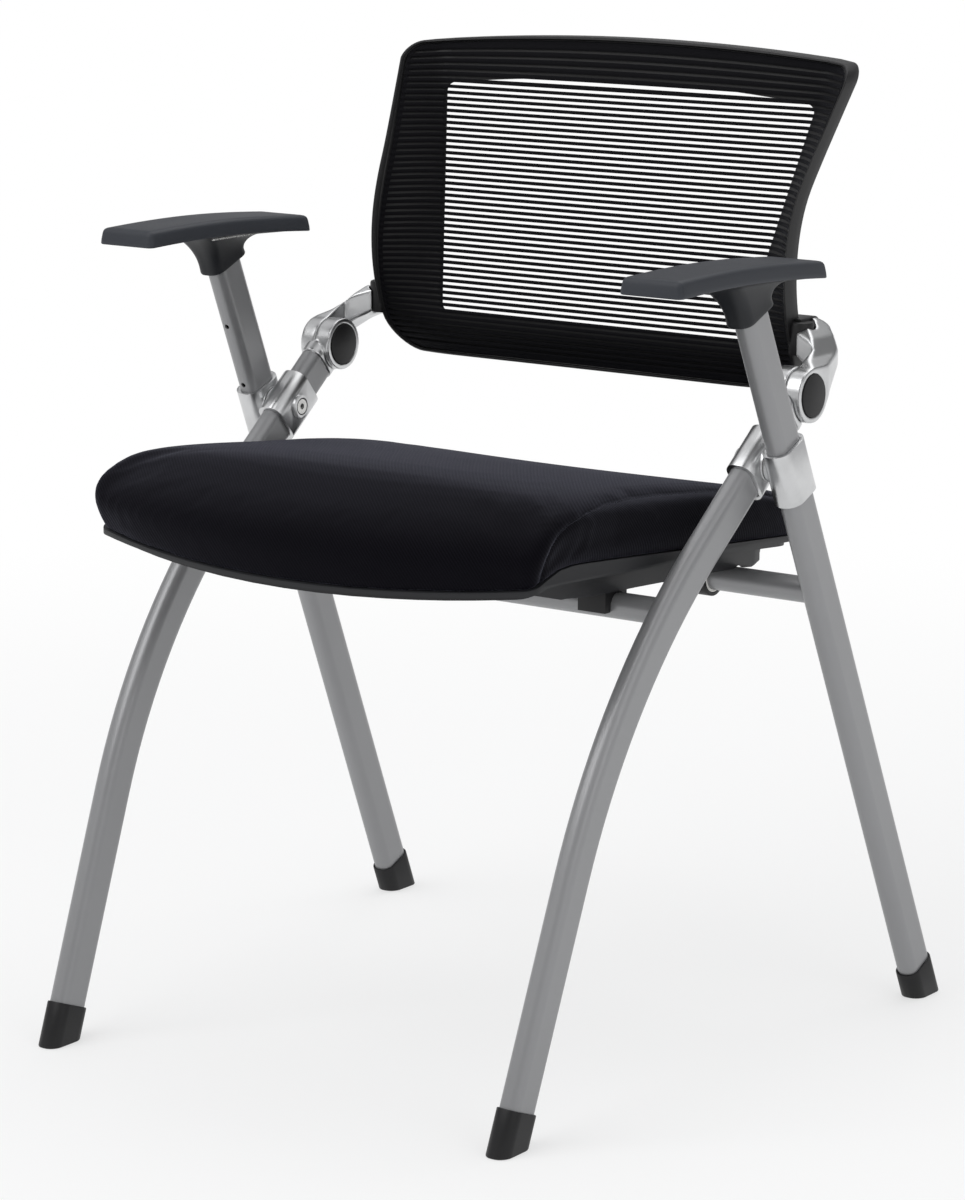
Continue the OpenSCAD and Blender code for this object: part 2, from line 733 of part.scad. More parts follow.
module arm_pad(side) {
    color(plastic_color) on_side(side) difference() {
        intersection() {
            translate([0, 0, arm_bottom_z - arm_thick]) linear_extrude(3 * arm_thick) arm_plan(0);
            side_extrude(arm_x - arm_w, arm_x + arm_w) arm_strip(-arm_thick + fit_gap, 0);
        }
        for (s = [-1, 1]) translate([arm_x, post_axis_y + s * arm_screw_gap / 2, 0])
            cylinder(h = arm_top(post_axis_y) - arm_thick + arm_screw_bite + fit_gap,
                     r = arm_screw_r + run_gap);
        arm_plate_shape(fit_gap);
    }
}

// Seat: heights of the pan's rim, of its skirt's lower edge and of its floor
function rim_height(y) =
    let (u = y + seat_front)
    soft_min(rim_z - rim_slope * (u - rim_bend),
             soft_max(rim_z + lip_slope * (u - rim_bend), rim_z - tip_drop + tip_slope * u, tip_round),
             lip_round);
function skirt_low(y) =
    let (u = y + seat_front)
    rim_z - skirt_drop + soft_min(skirt_lip_slope * u, -skirt_side_slope * (u - skirt_bend), skirt_round);
function floor_height(y) = seat_floor_z + floor_slope * (rear_cross_y - y);

// Right half of the seat's plan, from the middle of its front edge to the middle of its rear edge
front_shares = [0, 0.16, 0.32, 0.47, 0.6, 0.72, 0.83, 0.92];
side_shares = [0.025, 0.06, 0.1, 0.15, 0.23, 0.34, 0.48, 0.62, 0.75, 0.88];
rear_shares = [0.75, 0.5, 0.25, 0];
function corner_r(r, inset, length) =
    min(r + max(-inset, inset * corner_share), length * corner_most_share);
function plan_half(inset) =
    let (w = seat_half_w - inset, wr = w * (1 - rear_taper), y0 = inset - seat_front, y1 = seat_rear - inset,
         r0 = corner_r(front_corner_r, inset, y1 - y0), r1 = corner_r(rear_corner_r, inset, y1 - y0),
         front = [w, y0], rear = [wr, y1], bulge = seat_bulge * w / seat_half_w,
         arc0 = corner_arc([0, y0 - 2 * bulge], front, rear, r0, corner_steps),
         arc1 = corner_arc(front, rear, [0, y1], r1, corner_steps))
    concat([for (f = front_shares) let (x = f * arc0[0][0]) [x, y0 - bulge * (1 - x * x / (w * w))]],
           arc0,
           [for (f = side_shares) arc0[corner_steps] + (arc1[0] - arc0[corner_steps]) * f],
           arc1,
           [for (f = rear_shares) [f * (wr - r1), y1]]);
function plan_outline(inset) = mirrored(plan_half(inset));

module plan_prism(inset) {
    translate([0, 0, seat_floor_z - 2 * pan_h]) linear_extrude(8 * pan_h)
        polygon(plan_outline(inset));
}

// Slabs across the seat: between two lines of heights, and along the rim from low to high above it
slab_steps = 26;
slab_step_power = 1.6;
slab_front = -seat_front - 2 * seat_bulge;
slab_ys = [for (i = [0:slab_steps])
    slab_front + (seat_rear + seat_bulge - slab_front) * pow(i / slab_steps, slab_step_power)];
module slab(lows, highs) {
    n = slab_steps;
    side_extrude(-seat_half_w - seat_bulge, seat_half_w + seat_bulge)
        polygon(concat([for (i = [0:n]) [slab_ys[i], highs[i]]],
                       [for (i = [n:-1:0]) [slab_ys[i], lows[i]]]));
}

module rim_slab(low, high) {
    slab([for (y = slab_ys) rim_height(y) + low], [for (y = slab_ys) rim_height(y) + high]);
}

// Body of the pan below its skirt, down to the floor plus the given amount
module pan_body(inset, low, high) {
    y0 = -pan_front + inset;
    y1 = pan_rear - inset;
    drop = rim_height(y1) - floor_height(y1);
    intersection() {
        plan_prism(pan_inset + inset);
        side_extrude(-seat_half_w, seat_half_w)
            polygon([[y0, floor_height(y0) + pan_front_rise + low],
                     [y0 + pan_front_slant, floor_height(y0 + pan_front_slant) + low],
                     [y1 - drop / pan_slant_share, floor_height(y1) + low],
                     [y1, rim_height(y1) + high],
                     [rim_bend - pan_front, rim_height(rim_bend - pan_front) + high],
                     [y0, rim_height(y0) + high]]);
    }
}

// Sides of the pan, which reach down past its floor and straddle the rear cross tube. Shares: place
// along the seat's front length, and depth below the floor
cheek_shares = [[-0.707, -0.04], [-0.518, 0.27], [-0.239, 0.33], [0.275, 0.58], [0.478, 0.66],
                [0.581, 0.82], [0.662, 0.48], [0.775, -0.11]];
module pan_cheeks() {
    ys = [for (s = cheek_shares) s[0] * seat_front];
    n = len(ys);
    for (side = [-1, 1]) on_side(side) difference() {
        intersection() {
            side_extrude(seat_half_w - pan_inset - cheek_w, seat_half_w)
                polygon(concat([for (i = [0:n - 1])
                                   [ys[i], floor_height(ys[i]) - cheek_shares[i][1] * cheek_drop]],
                               [for (y = [ys[n - 1], ys[0]]) [y, rim_height(y) - pan_h]]));
            plan_prism(pan_inset);
        }
        rod_x(0, seat_half_w, rear_cross_y, rear_cross_z, cross_d / 2 + cheek_play);
    }
}

module seat_pan() {
    color(plastic_color) difference() {
        union() {
            difference() {
                union() {
                    intersection() {
                        plan_prism(0);
                        slab([for (y = slab_ys) skirt_low(y)], [for (y = slab_ys) rim_height(y)]);
                    }
                    intersection() { plan_prism(strip_w); rim_slab(-board_t - ledge_t, 0); }
                    pan_body(0, 0, -pan_h / 2);
                }
                pan_body(pan_wall, pan_wall, -board_t);
                below_floor();
            }
            pan_cheeks();
            difference() {
                seat_screw_places() translate([0, 0, -2 * pan_h]) cylinder(h = 2 * pan_h, r = seat_boss_r);
                below_floor();
            }
        }
        intersection() { plan_prism(board_inset - fit_gap); rim_slab(-board_t - fit_gap, pan_h); }
        seat_screw_places() translate([0, 0, -4 * pan_h])
            cylinder(h = 4 * pan_h, r = seat_screw_r + fit_gap);
        seat_screw_heads(fit_gap, pan_h);
        bracket_screw_places() cylinder(h = 2 * pan_h, r = seat_screw_r - fit_gap, center = true);
    }
}

// Everything below the pan's floor
module below_floor() {
    side_extrude(-seat_half_w, seat_half_w)
        polygon([[-seat_front, floor_height(-seat_front)], [seat_rear, floor_height(seat_rear)],
                 [seat_rear, floor_height(seat_rear) - 4 * pan_h],
                 [-seat_front, floor_height(seat_rear) - 4 * pan_h]]);
}

// Places of the four screws that hold the board, each at the rim's height there
module seat_screw_places() {
    for (sx = [-1, 1], y = [-seat_screw_front, seat_screw_rear])
        translate([sx * seat_screw_x, y, rim_height(y)]) children();
}

module seat_screw_heads(grow, extra) {
    for (sx = [-1, 1], y = [-seat_screw_front, seat_screw_rear])
        translate([sx * seat_screw_x, y, floor_height(y) - grow - extra])
            cylinder(h = seat_screw_head_h + 2 * grow + extra, r = seat_screw_head_r + grow);
}

module seat_screws() {
    color(steel_color) {
        for (sx = [-1, 1], y = [-seat_screw_front, seat_screw_rear])
            translate([sx * seat_screw_x, y, floor_height(y)]) {
                cylinder(h = seat_screw_head_h, r = seat_screw_head_r);
                cylinder(h = rim_height(y) - floor_height(y) - 2 * seat_nut_t, r = seat_screw_r);
            }
    }
}

// Tee nuts pressed into the board from above, sunk so that its slope doesn't bare their rims
module seat_nuts() {
    color(steel_color) seat_screw_places() difference() {
        union() {
            translate([0, 0, -seat_nut_t - seat_nut_sink])
                cylinder(h = seat_nut_t - fit_gap, r = seat_nut_r);
            translate([0, 0, seat_nut_sink - board_t])
                cylinder(h = board_t - 2 * seat_nut_sink - fit_gap, r = seat_screw_r + seat_nut_t);
        }
        translate([0, 0, -board_t - over]) cylinder(h = board_t + 2 * over, r = seat_screw_r + run_gap);
    }
}

module seat_board() {
    color(wood_color) difference() {
        intersection() { plan_prism(board_inset); rim_slab(-board_t, 0); }
        seat_screw_places() {
            translate([0, 0, -seat_nut_t - seat_nut_sink - fit_gap])
                cylinder(h = board_t, r = seat_nut_r + fit_gap);
            translate([0, 0, -2 * board_t])
                cylinder(h = 3 * board_t, r = seat_screw_r + seat_nut_t + fit_gap);
        }
    }
}

// Cushion: rings from the rim outwards, up, over the seam and in to the crown
cushion_inset_shares = [0.5, 0.2, -0.6, -1.5, -2.4, -2, 0.2, 2.4, 6, 12, 22, 42, 70, 95];
cushion_height_shares = [0, 0, 0.18, 0.45, 0.8, 1.05, 1.2, 1.27, 1.31, 1.34, 1.35, 1.36, 1.36, 1.36];
cushion_inset_unit = 2;
first_crown_ring = 6;

// Height over the cushion's edge: a crown, and a slight hollow towards the rear
function cushion_crown_at(p) =
    let (u = min(1, abs(p[0]) / seat_half_w), mid = (seat_rear - seat_front - seat_bulge) / 2,
         v = max(-1, min(1, (p[1] - mid) / ((seat_rear + seat_front + seat_bulge) / 2))))
    (1 - u * u) * (v < 0 ? cushion_crown * (1 - pow(-v, 3))
                         : cushion_crown - (cushion_crown + rear_dish) * v * v);
function cushion_ring(k) =
    let (inset = cushion_inset_shares[k] * cushion_inset_unit, h = cushion_height_shares[k])
    [for (p = plan_outline(inset))
        let (front = max(0, -(p[1] + seat_front - front_fall_len) / (front_fall_len + seat_bulge)),
             rear = max(0, (p[1] - seat_rear + rear_fall_len) / rear_fall_len),
             up = h * cushion_h * (1 - front_fall_share * front * front - rear_fall_share * rear * rear),
             drop = k == 0 ? cushion_drop : 0,
             crown = k < first_crown_ring ? 0 : cushion_crown_at(p))
        [p[0], p[1], rim_height(p[1]) + face_gap + up - drop + crown]];

// The polyhedron starts a little below the rim, and the slab cuts its underside to the board
module seat_cushion() {
    m = len(cushion_inset_shares);
    n = len(plan_outline(0));
    rings = [for (k = [0:m - 1]) each cushion_ring(k)];
    mid_y = (seat_rear - seat_front) / 2;
    mid_z = rim_height(mid_y) + face_gap;
    top_mid = [0, mid_y, mid_z + cushion_h * cushion_height_shares[m - 1] + cushion_crown_at([0, mid_y])];
    low_mid = [0, mid_y, mid_z - cushion_drop];
    color(fabric_color) difference() {
        polyhedron(
            points = concat(rings, [top_mid, low_mid]),
            faces = concat(
                [for (k = [0:m - 2], i = [0:n - 1])
                    let (a = k * n + i, c = k * n + (i + 1) % n) each [[a, a + n, c + n], [a, c + n, c]]],
                [for (i = [0:n - 1]) [(m - 1) * n + i, m * n, (m - 1) * n + (i + 1) % n]],
                [for (i = [0:n - 1]) [i, (i + 1) % n, m * n + 1]]));
        rim_slab(-3 * pan_h, face_gap);
    }
}

// Blocks that hook over the front cross tube from the front and above
module seat_rests() {
    top_z = floor_height(front_cross_y);
    color(plastic_color) for (side = [-1, 1]) on_side(side) difference() {
        translate([rest_x - rest_w / 2, front_cross_y - cross_d / 2 - rest_lip, front_cross_z - rest_drop])
            cube([rest_w, cross_d / 2 + rest_lip + rest_back, top_z - front_cross_z + rest_drop + pan_h]);
        rod_x(rest_x - rest_w, rest_x + rest_w, front_cross_y, front_cross_z, cross_d / 2 + face_gap);
        translate([rest_x - rest_w, front_cross_y - cross_d / 2 - face_gap, front_cross_z - cross_d])
            cube([2 * rest_w, 2 * cross_d, cross_d]);
        translate([0, 0, -fit_gap]) above_floor();
    }
}

// Everything above the pan's floor
module above_floor() {
    side_extrude(-seat_half_w, seat_half_w)
        polygon([[-seat_front, floor_height(-seat_front)], [seat_rear, floor_height(seat_rear)],
                 [seat_rear, floor_height(-seat_front) + 4 * pan_h],
                 [-seat_front, floor_height(-seat_front) + 4 * pan_h]]);
}

module seat_hinge_brackets() {
    color(plastic_color) for (side = [-1, 1]) on_side(side) difference() {
        union() {
            rod_x(bracket_x - bracket_w / 2, bracket_x + bracket_w / 2, rear_cross_y, rear_cross_z, ring_r);
            intersection() {
                translate([bracket_x - bracket_w / 2, rear_cross_y - bracket_len + ring_r, rear_cross_z])
                    cube([bracket_w, bracket_len, 3 * bracket_t + ring_r]);
                translate([0, 0, -bracket_t]) above_floor();
            }
        }
        translate([0, 0, -fit_gap]) above_floor();
        rod_x(bracket_x - bracket_w, bracket_x + bracket_w, rear_cross_y, rear_cross_z,
              cross_d / 2 + bush_wall + fit_gap);
        bracket_screw_places() cylinder(h = 3 * pan_h, r = seat_screw_r + fit_gap, center = true);
        bracket_screw_places() translate([0, 0, -bracket_t - pan_h])
            cylinder(h = pan_h + bracket_bore_h, r = seat_screw_head_r + fit_gap);
    }
}

module seat_hinge_bushes() {
    color(nylon_color) for (side = [-1, 1]) on_side(side) difference() {
        rod_x(bracket_x - bracket_w / 2, bracket_x + bracket_w / 2, rear_cross_y, rear_cross_z,
              cross_d / 2 + bush_wall);
        rod_x(bracket_x - bracket_w, bracket_x + bracket_w, rear_cross_y, rear_cross_z,
              cross_d / 2 + run_gap);
    }
}

// Places of the screws that hold the hinge brackets, at the pan's floor
module bracket_screw_places() {
    y = rear_cross_y - bracket_len + ring_r + bracket_w * bracket_screw_share;
    for (side = [-1, 1]) translate([side * bracket_x, y, floor_height(y)]) children();
}

module bracket_screws() {
    seat_z = bracket_bore_h - bracket_t;
    color(steel_color) bracket_screw_places() {
        translate([0, 0, seat_z - seat_screw_head_h])
            cylinder(h = pan_wall - seat_z + seat_screw_head_h, r = seat_screw_r - 2 * fit_gap);
        translate([0, 0, seat_z - seat_screw_head_h])
            cylinder(h = seat_screw_head_h - fit_gap, r = seat_screw_head_r);
    }
}

// Back: its surface, as the fabric lies
function edge_y(z) =
    let (d = z - waist_z, limit = waist_r * sin(back_lean))
    d < limit ? waist_y + waist_r - sqrt(waist_r * waist_r - d * d)
    : waist_y + waist_r * (1 - cos(back_lean)) + (d - limit) * tan(back_lean);
function plane_at(z) = soft_max(plane_y + plane_slope * (z - window_low_z),
                                hook_y + hook_slope * (z - hook_z), hook_round);
function outer_w(z) = soft_max(back_half_w, back_half_w + flare_slope * (z - flare_z), flare_round);
function window_w(z) = window_half_w + window_slope * (z - window_low_z);
function back_y(x, z) =
    let (wi = window_w(z), wo = outer_w(z), t = max(0, min(1, (abs(x) - wi) / (wo - wi))))
    plane_at(z) - (plane_at(z) - edge_y(z)) * pow(t, wrap_power);

// One half outline of the back, from the middle of the lower edge to the middle of the upper edge
row_shares = [0, 0.4, 0.65, 0.8, 0.91];
corner_steps = 5;
side_steps = 14;
function half_outline(kind) =
    let (low = kind == 0 ? back_low_z : window_low_z,
         high = kind == 0 ? back_top_z : window_top_z,
         r0 = kind == 0 ? low_corner_r : window_corner_r,
         r1 = kind == 0 ? top_corner_r : window_corner_r,
         w0 = kind == 0 ? outer_w(low + r0) : window_w(low + r0),
         w1 = kind == 0 ? outer_w(high - r1) : window_w(high - r1))
    concat([for (f = row_shares) [(w0 - r0) * f, low]],
           [for (i = [0:corner_steps]) let (a = -90 + 90 * i / corner_steps)
               [w0 - r0 + r0 * cos(a), low + r0 + r0 * sin(a)]],
           [for (i = [1:side_steps - 1]) let (z = low + r0 + (high - r1 - low - r0) * i / side_steps)
               [kind == 0 ? outer_w(z) : window_w(z), z]],
           [for (i = [0:corner_steps]) let (a = 90 * i / corner_steps)
               [w1 - r1 + r1 * cos(a), high - r1 + r1 * sin(a)]],
           [for (i = [len(row_shares) - 1:-1:0]) let (f = row_shares[i])
               [(w1 - r1) * f, high + back_arch * (1 - f * f)]]);
function mirrored(h) = let (n = len(h)) concat(h, [for (i = [n - 2:-1:1]) [-h[i][0], h[i][1]]]);
outer_path = mirrored(half_outline(0));
window_path = mirrored(half_outline(1));

// Section of the frame at one station: the lip, the flange behind the fabric and the outer wall
flange_shares = [0, 0.25, 0.5, 0.75, 1];
function frame_section(o, w) =
    let (inner = o + (w - o) * lip_w / norm(w - o), y_o = back_y(o[0], o[1]), m = len(flange_shares),
         line = [for (f = flange_shares) inner + (w - inner) * f],
         back = mesh_t + mesh_gap)
    concat([[o[0], y_o - lip_proud, o[1]],
            [inner[0], back_y(inner[0], inner[1]) - lip_proud, inner[1]]],
           [for (p = line) [p[0], back_y(p[0], p[1]) + back, p[1]]],
           [for (i = [m - 1:-1:0]) let (p = line[i]) [p[0], back_y(p[0], p[1]) + back + flange_t, p[1]]],
           [[inner[0], y_o + back_depth, inner[1]], [o[0], y_o + back_depth, o[1]]]);

lug_in = 12;
lug_x0 = back_half_w - lug_in;
lug_low_z = 572;
lug_high_z = 604;
lug_front_y = 162;
lug_rear_y = 194;
lug_proud = 6;
lug_round = 8;
lug_depth = back_half_w + lug_proud - lug_x0;
back_screw_r = 2.5;
back_screw_head_r = 4.5;
back_screw_head_h = 2.6;
back_screw_bite = 8;
back_screw_back = 2;
back_screw_shares = [0.25, 0.65];
function lug_front_at(z) = back_y(lug_x0, z) + mesh_t + mesh_gap + flange_t / 2;

module back_frame() {
    n = len(outer_path);
    s = 4 + 2 * len(flange_shares);
    points = [for (i = [0:n - 1]) each frame_section(outer_path[i], window_path[i])];
    color(plastic_color) difference() {
        union() {
            polyhedron(points = points, faces = [for (i = [0:n - 1], k = [0:s - 1])
                let (a = i * s + k, b = i * s + (k + 1) % s,
                     c = ((i + 1) % n) * s + (k + 1) % s, d = ((i + 1) % n) * s + k)
                each i < n / 2 ? [[a, b, d], [b, c, d]] : [[a, b, c], [a, c, d]]]);
            for (side = [-1, 1]) on_side(side) side_extrude(lug_x0, back_half_w + lug_proud)
                polygon(rounded([[lug_front_at(lug_low_z), lug_low_z, 0],
                                 [lug_rear_y, lug_low_z, lug_round],
                                 [lug_rear_y, lug_high_z, lug_round],
                                 [lug_front_at(lug_high_z), lug_high_z, 0]]));
        }
        back_screw_places() rotate([0, -90, 0])
            cylinder(h = 2 * lug_depth, r = back_screw_r + fit_gap, center = true);
    }
}

module back_screw_places() {
    for (side = [-1, 1]) on_side(side)
        for (share = back_screw_shares)
            translate([back_half_w + lug_proud, (lug_front_y + lug_rear_y) / 2 + back_screw_back,
                       lug_low_z + (lug_high_z - lug_low_z) * share]) children();
}

module back_screws() {
    color(steel_color) back_screw_places() {
        translate([-lug_depth - fit_gap, 0, 0]) rotate([0, 90, 0])
            cylinder(h = lug_depth + fit_gap + back_screw_bite, r = back_screw_r);
        translate([-lug_depth - fit_gap - back_screw_head_h, 0, 0]) rotate([0, 90, 0])
            cylinder(h = back_screw_head_h, r = back_screw_head_r);
    }
}

// Mesh: a sheet with a plain border and long open rows between its bands
border_rows = 5;
top_rows = 4;
mesh_edge_gap = 1.4;
mesh_inset = 2;
mesh_margin = lip_w + mesh_edge_gap;
mesh_low_z = back_low_z + mesh_margin;
mesh_high_z = back_top_z - mesh_margin;
function mesh_rows_z() =
    let (z0 = window_low_z + mesh_inset, pitch = (window_top_z - window_low_z - 2 * mesh_inset) / mesh_rows,
         z1 = z0 + pitch * mesh_rows)
    concat([for (i = [0:border_rows - 1]) mesh_low_z + (z0 - mesh_low_z) * i / border_rows],
           [for (i = [0:mesh_rows - 1]) each [z0 + pitch * i, z0 + pitch * (i + mesh_open_share)]],
           [for (i = [0:top_rows]) z1 + (mesh_high_z - z1) * i / top_rows]);

// Half width of the sheet at a height, drawn in round the lower and upper corners
function mesh_half_w(z) =
    let (low = back_low_z + low_corner_r, high = back_top_z - top_corner_r,
         r = z < low ? low_corner_r : top_corner_r,
         d = z < low ? low - z : z - high)
    outer_w(max(low, min(high, z)))
    - (d > 0 ? r - sqrt(max(0, pow(r - mesh_margin, 2) - d * d)) : mesh_margin);
border_shares = [0, 0.25, 0.5, 0.75, 1];
function mesh_row_x(z) =
    let (wo = mesh_half_w(z), wi = window_w(z) - mesh_inset, nb = len(border_shares))
    concat([for (s = border_shares) -wo + (wo - wi) * s],
           [for (i = [1:mesh_columns - 1]) -wi + 2 * wi * i / mesh_columns],
           [for (k = [nb - 1:-1:0]) wo - (wo - wi) * border_shares[k]]);
function top_lift(x, z) =
    let (f = max(0, (z - window_top_z) / (mesh_high_z - window_top_z)), u = x / outer_w(z))
    back_arch * (1 - u * u) * f;

module back_mesh() {
    zs = mesh_rows_z();
    rows = len(zs);
    cols = len(mesh_row_x(zs[0]));
    nb = len(border_shares);
    total = rows * cols;
    grid = [for (z = zs) each [for (x = mesh_row_x(z)) [x, z + top_lift(x, z)]]];
    front = [for (p = grid) [p[0], back_y(p[0], p[1]), p[1]]];
    rear = [for (p = grid) [p[0], back_y(p[0], p[1]) + mesh_t, p[1]]];
    function open(r, c) = r >= border_rows && r < border_rows + 2 * mesh_rows && (r - border_rows) % 2 == 0
        && c >= nb - 1 && c < cols - nb;
    function solid(r, c) = r >= 0 && c >= 0 && r < rows - 1 && c < cols - 1 && !open(r, c);
    color(fabric_color) polyhedron(
        points = concat(front, rear),
        faces = [for (r = [0:rows - 2], c = [0:cols - 2]) if (solid(r, c))
            let (a = r * cols + c, b = a + 1, d = a + cols, e = d + 1, t = total)
            each concat(c < cols / 2 - 1
                        ? [[a, d, e], [a, e, b], [a + t, e + t, d + t], [a + t, b + t, e + t]]
                        : [[a, d, b], [b, d, e], [a + t, b + t, d + t], [b + t, e + t, d + t]],
                        solid(r - 1, c) ? [] : [[a, b, b + t], [a, b + t, a + t]],
                        solid(r + 1, c) ? [] : [[d, d + t, e + t], [d, e + t, e]],
                        solid(r, c - 1) ? [] : [[a, a + t, d + t], [a, d + t, d]],
                        solid(r, c + 1) ? [] : [[b, e, e + t], [b, e + t, b + t]])]);
}

// Arms that carry the back: a disc on the outer side of the hinge, then a crooked arm to the lug.
// Shares of the disc's radius, from its centre: back, up and corner radius. The slant shares run out
// and up, as do the under shares below the arm, and the plan shares out, back and corner radius
crook_top_shares = [[-0.4, 0.87, 0.3], [0.86, 1.47, 0.5], [1.86, 2.35, 0.5]];
crook_low_shares = [[2.38, 0.64, 0.4], [1.3, 0, 0.5], [0.6, -0.75, 0.3]];
crook_end_shares = [0.5, 0.45];
crook_slant_shares = [[0.25, 1.23, 0.3], [-0.23, 1.82, 0.5]];
crook_under_shares = [[-0.23, 0.73, 0.6], [0.42, 0, 0.4]];
crook_under_share = 1.12;
crook_plan_shares = [[0.15, 2.55, 0.33], [-0.7, 3.2, 0.25]];
module back_arm(side) {
    arm_x0 = back_half_w + lug_proud + fit_gap;
    hub_face_x = hub_mid_x + face_gap / 2;
    top = [for (s = crook_top_shares) [hub_y + hub_r * s[0], hub_z + hub_r * s[1], hub_r * s[2]]];
    low = [for (s = crook_low_shares) [hub_y + hub_r * s[0], hub_z + hub_r * s[1], hub_r * s[2]]];
    slant = [for (s = crook_slant_shares) [hub_mid_x + hub_r * s[0], hub_z + hub_r * s[1], hub_r * s[2]]];
    under = [for (s = crook_under_shares) [hub_mid_x + hub_r * s[0], hub_z + hub_r * s[1], hub_r * s[2]]];
    plan = [for (s = crook_plan_shares) [hub_mid_x + hub_r * s[0], hub_y + hub_r * s[1], hub_r * s[2]]];
    color(alloy_color) on_side(side) difference() {
        union() {
            rod_x(hub_face_x, hub_outer_x, hub_y, hub_z, hub_r);
            intersection() {
                side_extrude(arm_x0, hub_outer_x)
                    polygon(rounded([top[0], top[1], top[2],
                                     [lug_rear_y, lug_high_z, hub_r * crook_end_shares[0]],
                                     [lug_rear_y, lug_low_z, hub_r * crook_end_shares[1]],
                                     low[0], low[1], low[2], [hub_y, hub_z, 0]]));
                translate([0, 0, hub_z - 4 * hub_r]) linear_extrude(8 * hub_r)
                    polygon(rounded([[hub_face_x, hub_y - 2 * hub_r, 0],
                                     [hub_outer_x, hub_y - 2 * hub_r, 0],
                                     [hub_outer_x, hub_y + hub_r, hub_r],
                                     plan[0], plan[1],
                                     [arm_x0, lug_rear_y + over, 0],
                                     [arm_x0, lug_front_y - lug_round, 0],
                                     [hub_face_x, hub_y + hub_r + 2 * face_gap, plan[1][2]]]));
                translate([0, hub_y + 5 * hub_r, 0]) rotate([90, 0, 0]) linear_extrude(8 * hub_r)
                    polygon(rounded([[arm_x0, hub_z + hub_r * crook_under_share, 0], under[0], under[1],
                                     [hub_outer_x, hub_z - 2 * hub_r, 0],
                                     [hub_outer_x, hub_z + hub_r, 0], slant[0], slant[1],
                                     [arm_x0, lug_high_z + over, 0]]));
            }
        }
        rod_x(hub_outer_x - cap_depth, hub_outer_x + over, hub_y, hub_z, hub_cap_r + run_gap);
        rod_x(hub_mid_x, hub_outer_x, hub_y, hub_z, hub_pin_r + run_gap);
        rod_x(hub_inner_x - over, hub_face_x, hub_y, hub_z, hub_r + face_gap);
        back_screw_places() rotate([0, 90, 0])
            cylinder(h = 2 * (back_screw_bite + fit_gap), r = back_screw_r + run_gap, center = true);
    }
}

front_leg(1);  // front_leg_right
front_leg(-1);  // front_leg_left
front_cross_tube();
front_foot(1);  // front_foot_right
front_foot(-1);  // front_foot_left
leg_sleeve(1);  // leg_sleeve_right
leg_sleeve(-1);  // leg_sleeve_left
pivot_bolts();
hinge_knuckle(1);  // hinge_knuckle_right
hinge_knuckle(-1);  // hinge_knuckle_left
hinge_pins();
hinge_springs();
inner_hub_caps();
rear_leg(1);  // rear_leg_right
rear_leg(-1);  // rear_leg_left
rear_cross_tube();
rear_foot(1);  // rear_foot_right
rear_foot(-1);  // rear_foot_left
leg_collar(1);  // leg_collar_right
leg_collar(-1);  // leg_collar_left
pivot_washers();
pivot_nuts();
arm_neck(1);  // arm_neck_right
arm_neck(-1);  // arm_neck_left
arm_pad(1);  // arm_pad_right
arm_pad(-1);  // arm_pad_left
arm_plates();
arm_screws();
seat_cushion();
seat_board();
seat_pan();
seat_rests();
seat_hinge_brackets();
seat_hinge_bushes();
seat_screws();
seat_nuts();
bracket_screws();
back_frame();
back_mesh();
back_arm(1);  // back_arm_right
back_arm(-1);  // back_arm_left
outer_hub_caps();
back_screws();
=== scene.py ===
"""Looks of a folding nesting chair, built round its packed construction model.

Every length is in metres, in the frame of the construction model: the origin lies on the floor
under the middle of the chair, +Z is up and the sitter faces -Y.
"""

import logging
import math
from dataclasses import dataclass, field
from enum import Enum
from typing import Any, Callable, Iterable, Sequence

import bmesh
import bpy
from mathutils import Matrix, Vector


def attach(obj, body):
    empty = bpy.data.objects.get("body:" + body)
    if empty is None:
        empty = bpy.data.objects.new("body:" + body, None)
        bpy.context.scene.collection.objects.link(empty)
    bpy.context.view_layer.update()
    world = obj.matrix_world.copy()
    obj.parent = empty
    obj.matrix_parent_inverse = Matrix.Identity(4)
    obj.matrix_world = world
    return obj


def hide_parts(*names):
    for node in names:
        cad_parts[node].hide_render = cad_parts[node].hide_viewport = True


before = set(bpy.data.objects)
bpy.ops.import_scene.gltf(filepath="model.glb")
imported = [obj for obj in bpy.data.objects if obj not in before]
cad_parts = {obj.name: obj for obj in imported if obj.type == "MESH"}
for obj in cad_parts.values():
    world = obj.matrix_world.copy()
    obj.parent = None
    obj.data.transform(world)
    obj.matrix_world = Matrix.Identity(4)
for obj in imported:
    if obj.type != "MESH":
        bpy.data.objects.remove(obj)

log = logging.getLogger("nesting_chair")
Point = tuple[float, float, float]
Flat = tuple[float, float]
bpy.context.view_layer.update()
# Points that lie closer than this are merged, in a new piece and in the copy of a node.
WELD = 2e-6
NODE_WELD = 1e-5
# Facets of a node's copy that turn by less than this many degrees are merged.
FLAT_DEGREES = 0.6
WHITE = (1.0, 1.0, 1.0, 1.0)


class Body(Enum):
    """The four bodies that move against each other."""

    FRONT = "front_frame"
    REAR = "rear_frame"
    SEAT = "seat"
    BACK = "backrest"


class Slot(Enum):
    """The record's material slots."""

    CASTING = "cast_alloy"
    PLASTIC = "black_plastic"
    ARM = "arm_plastic"
    CLOTH = "seat_fabric"
    NET = "mesh_fabric"


class Side(Enum):
    """The two sides of the chair, by the sign of X."""

    RIGHT = 1
    LEFT = -1

    def node(self, stem: str) -> str:
        """Name of the node of this side."""
        return f"{stem}_{self.name.lower()}"


# Modelling helpers


def clear_selection() -> None:
    """Leaves edit mode and deselects every object."""
    if bpy.context.object and bpy.context.object.mode != "OBJECT":
        bpy.ops.object.mode_set(mode="OBJECT")
    bpy.ops.object.select_all(action="DESELECT")


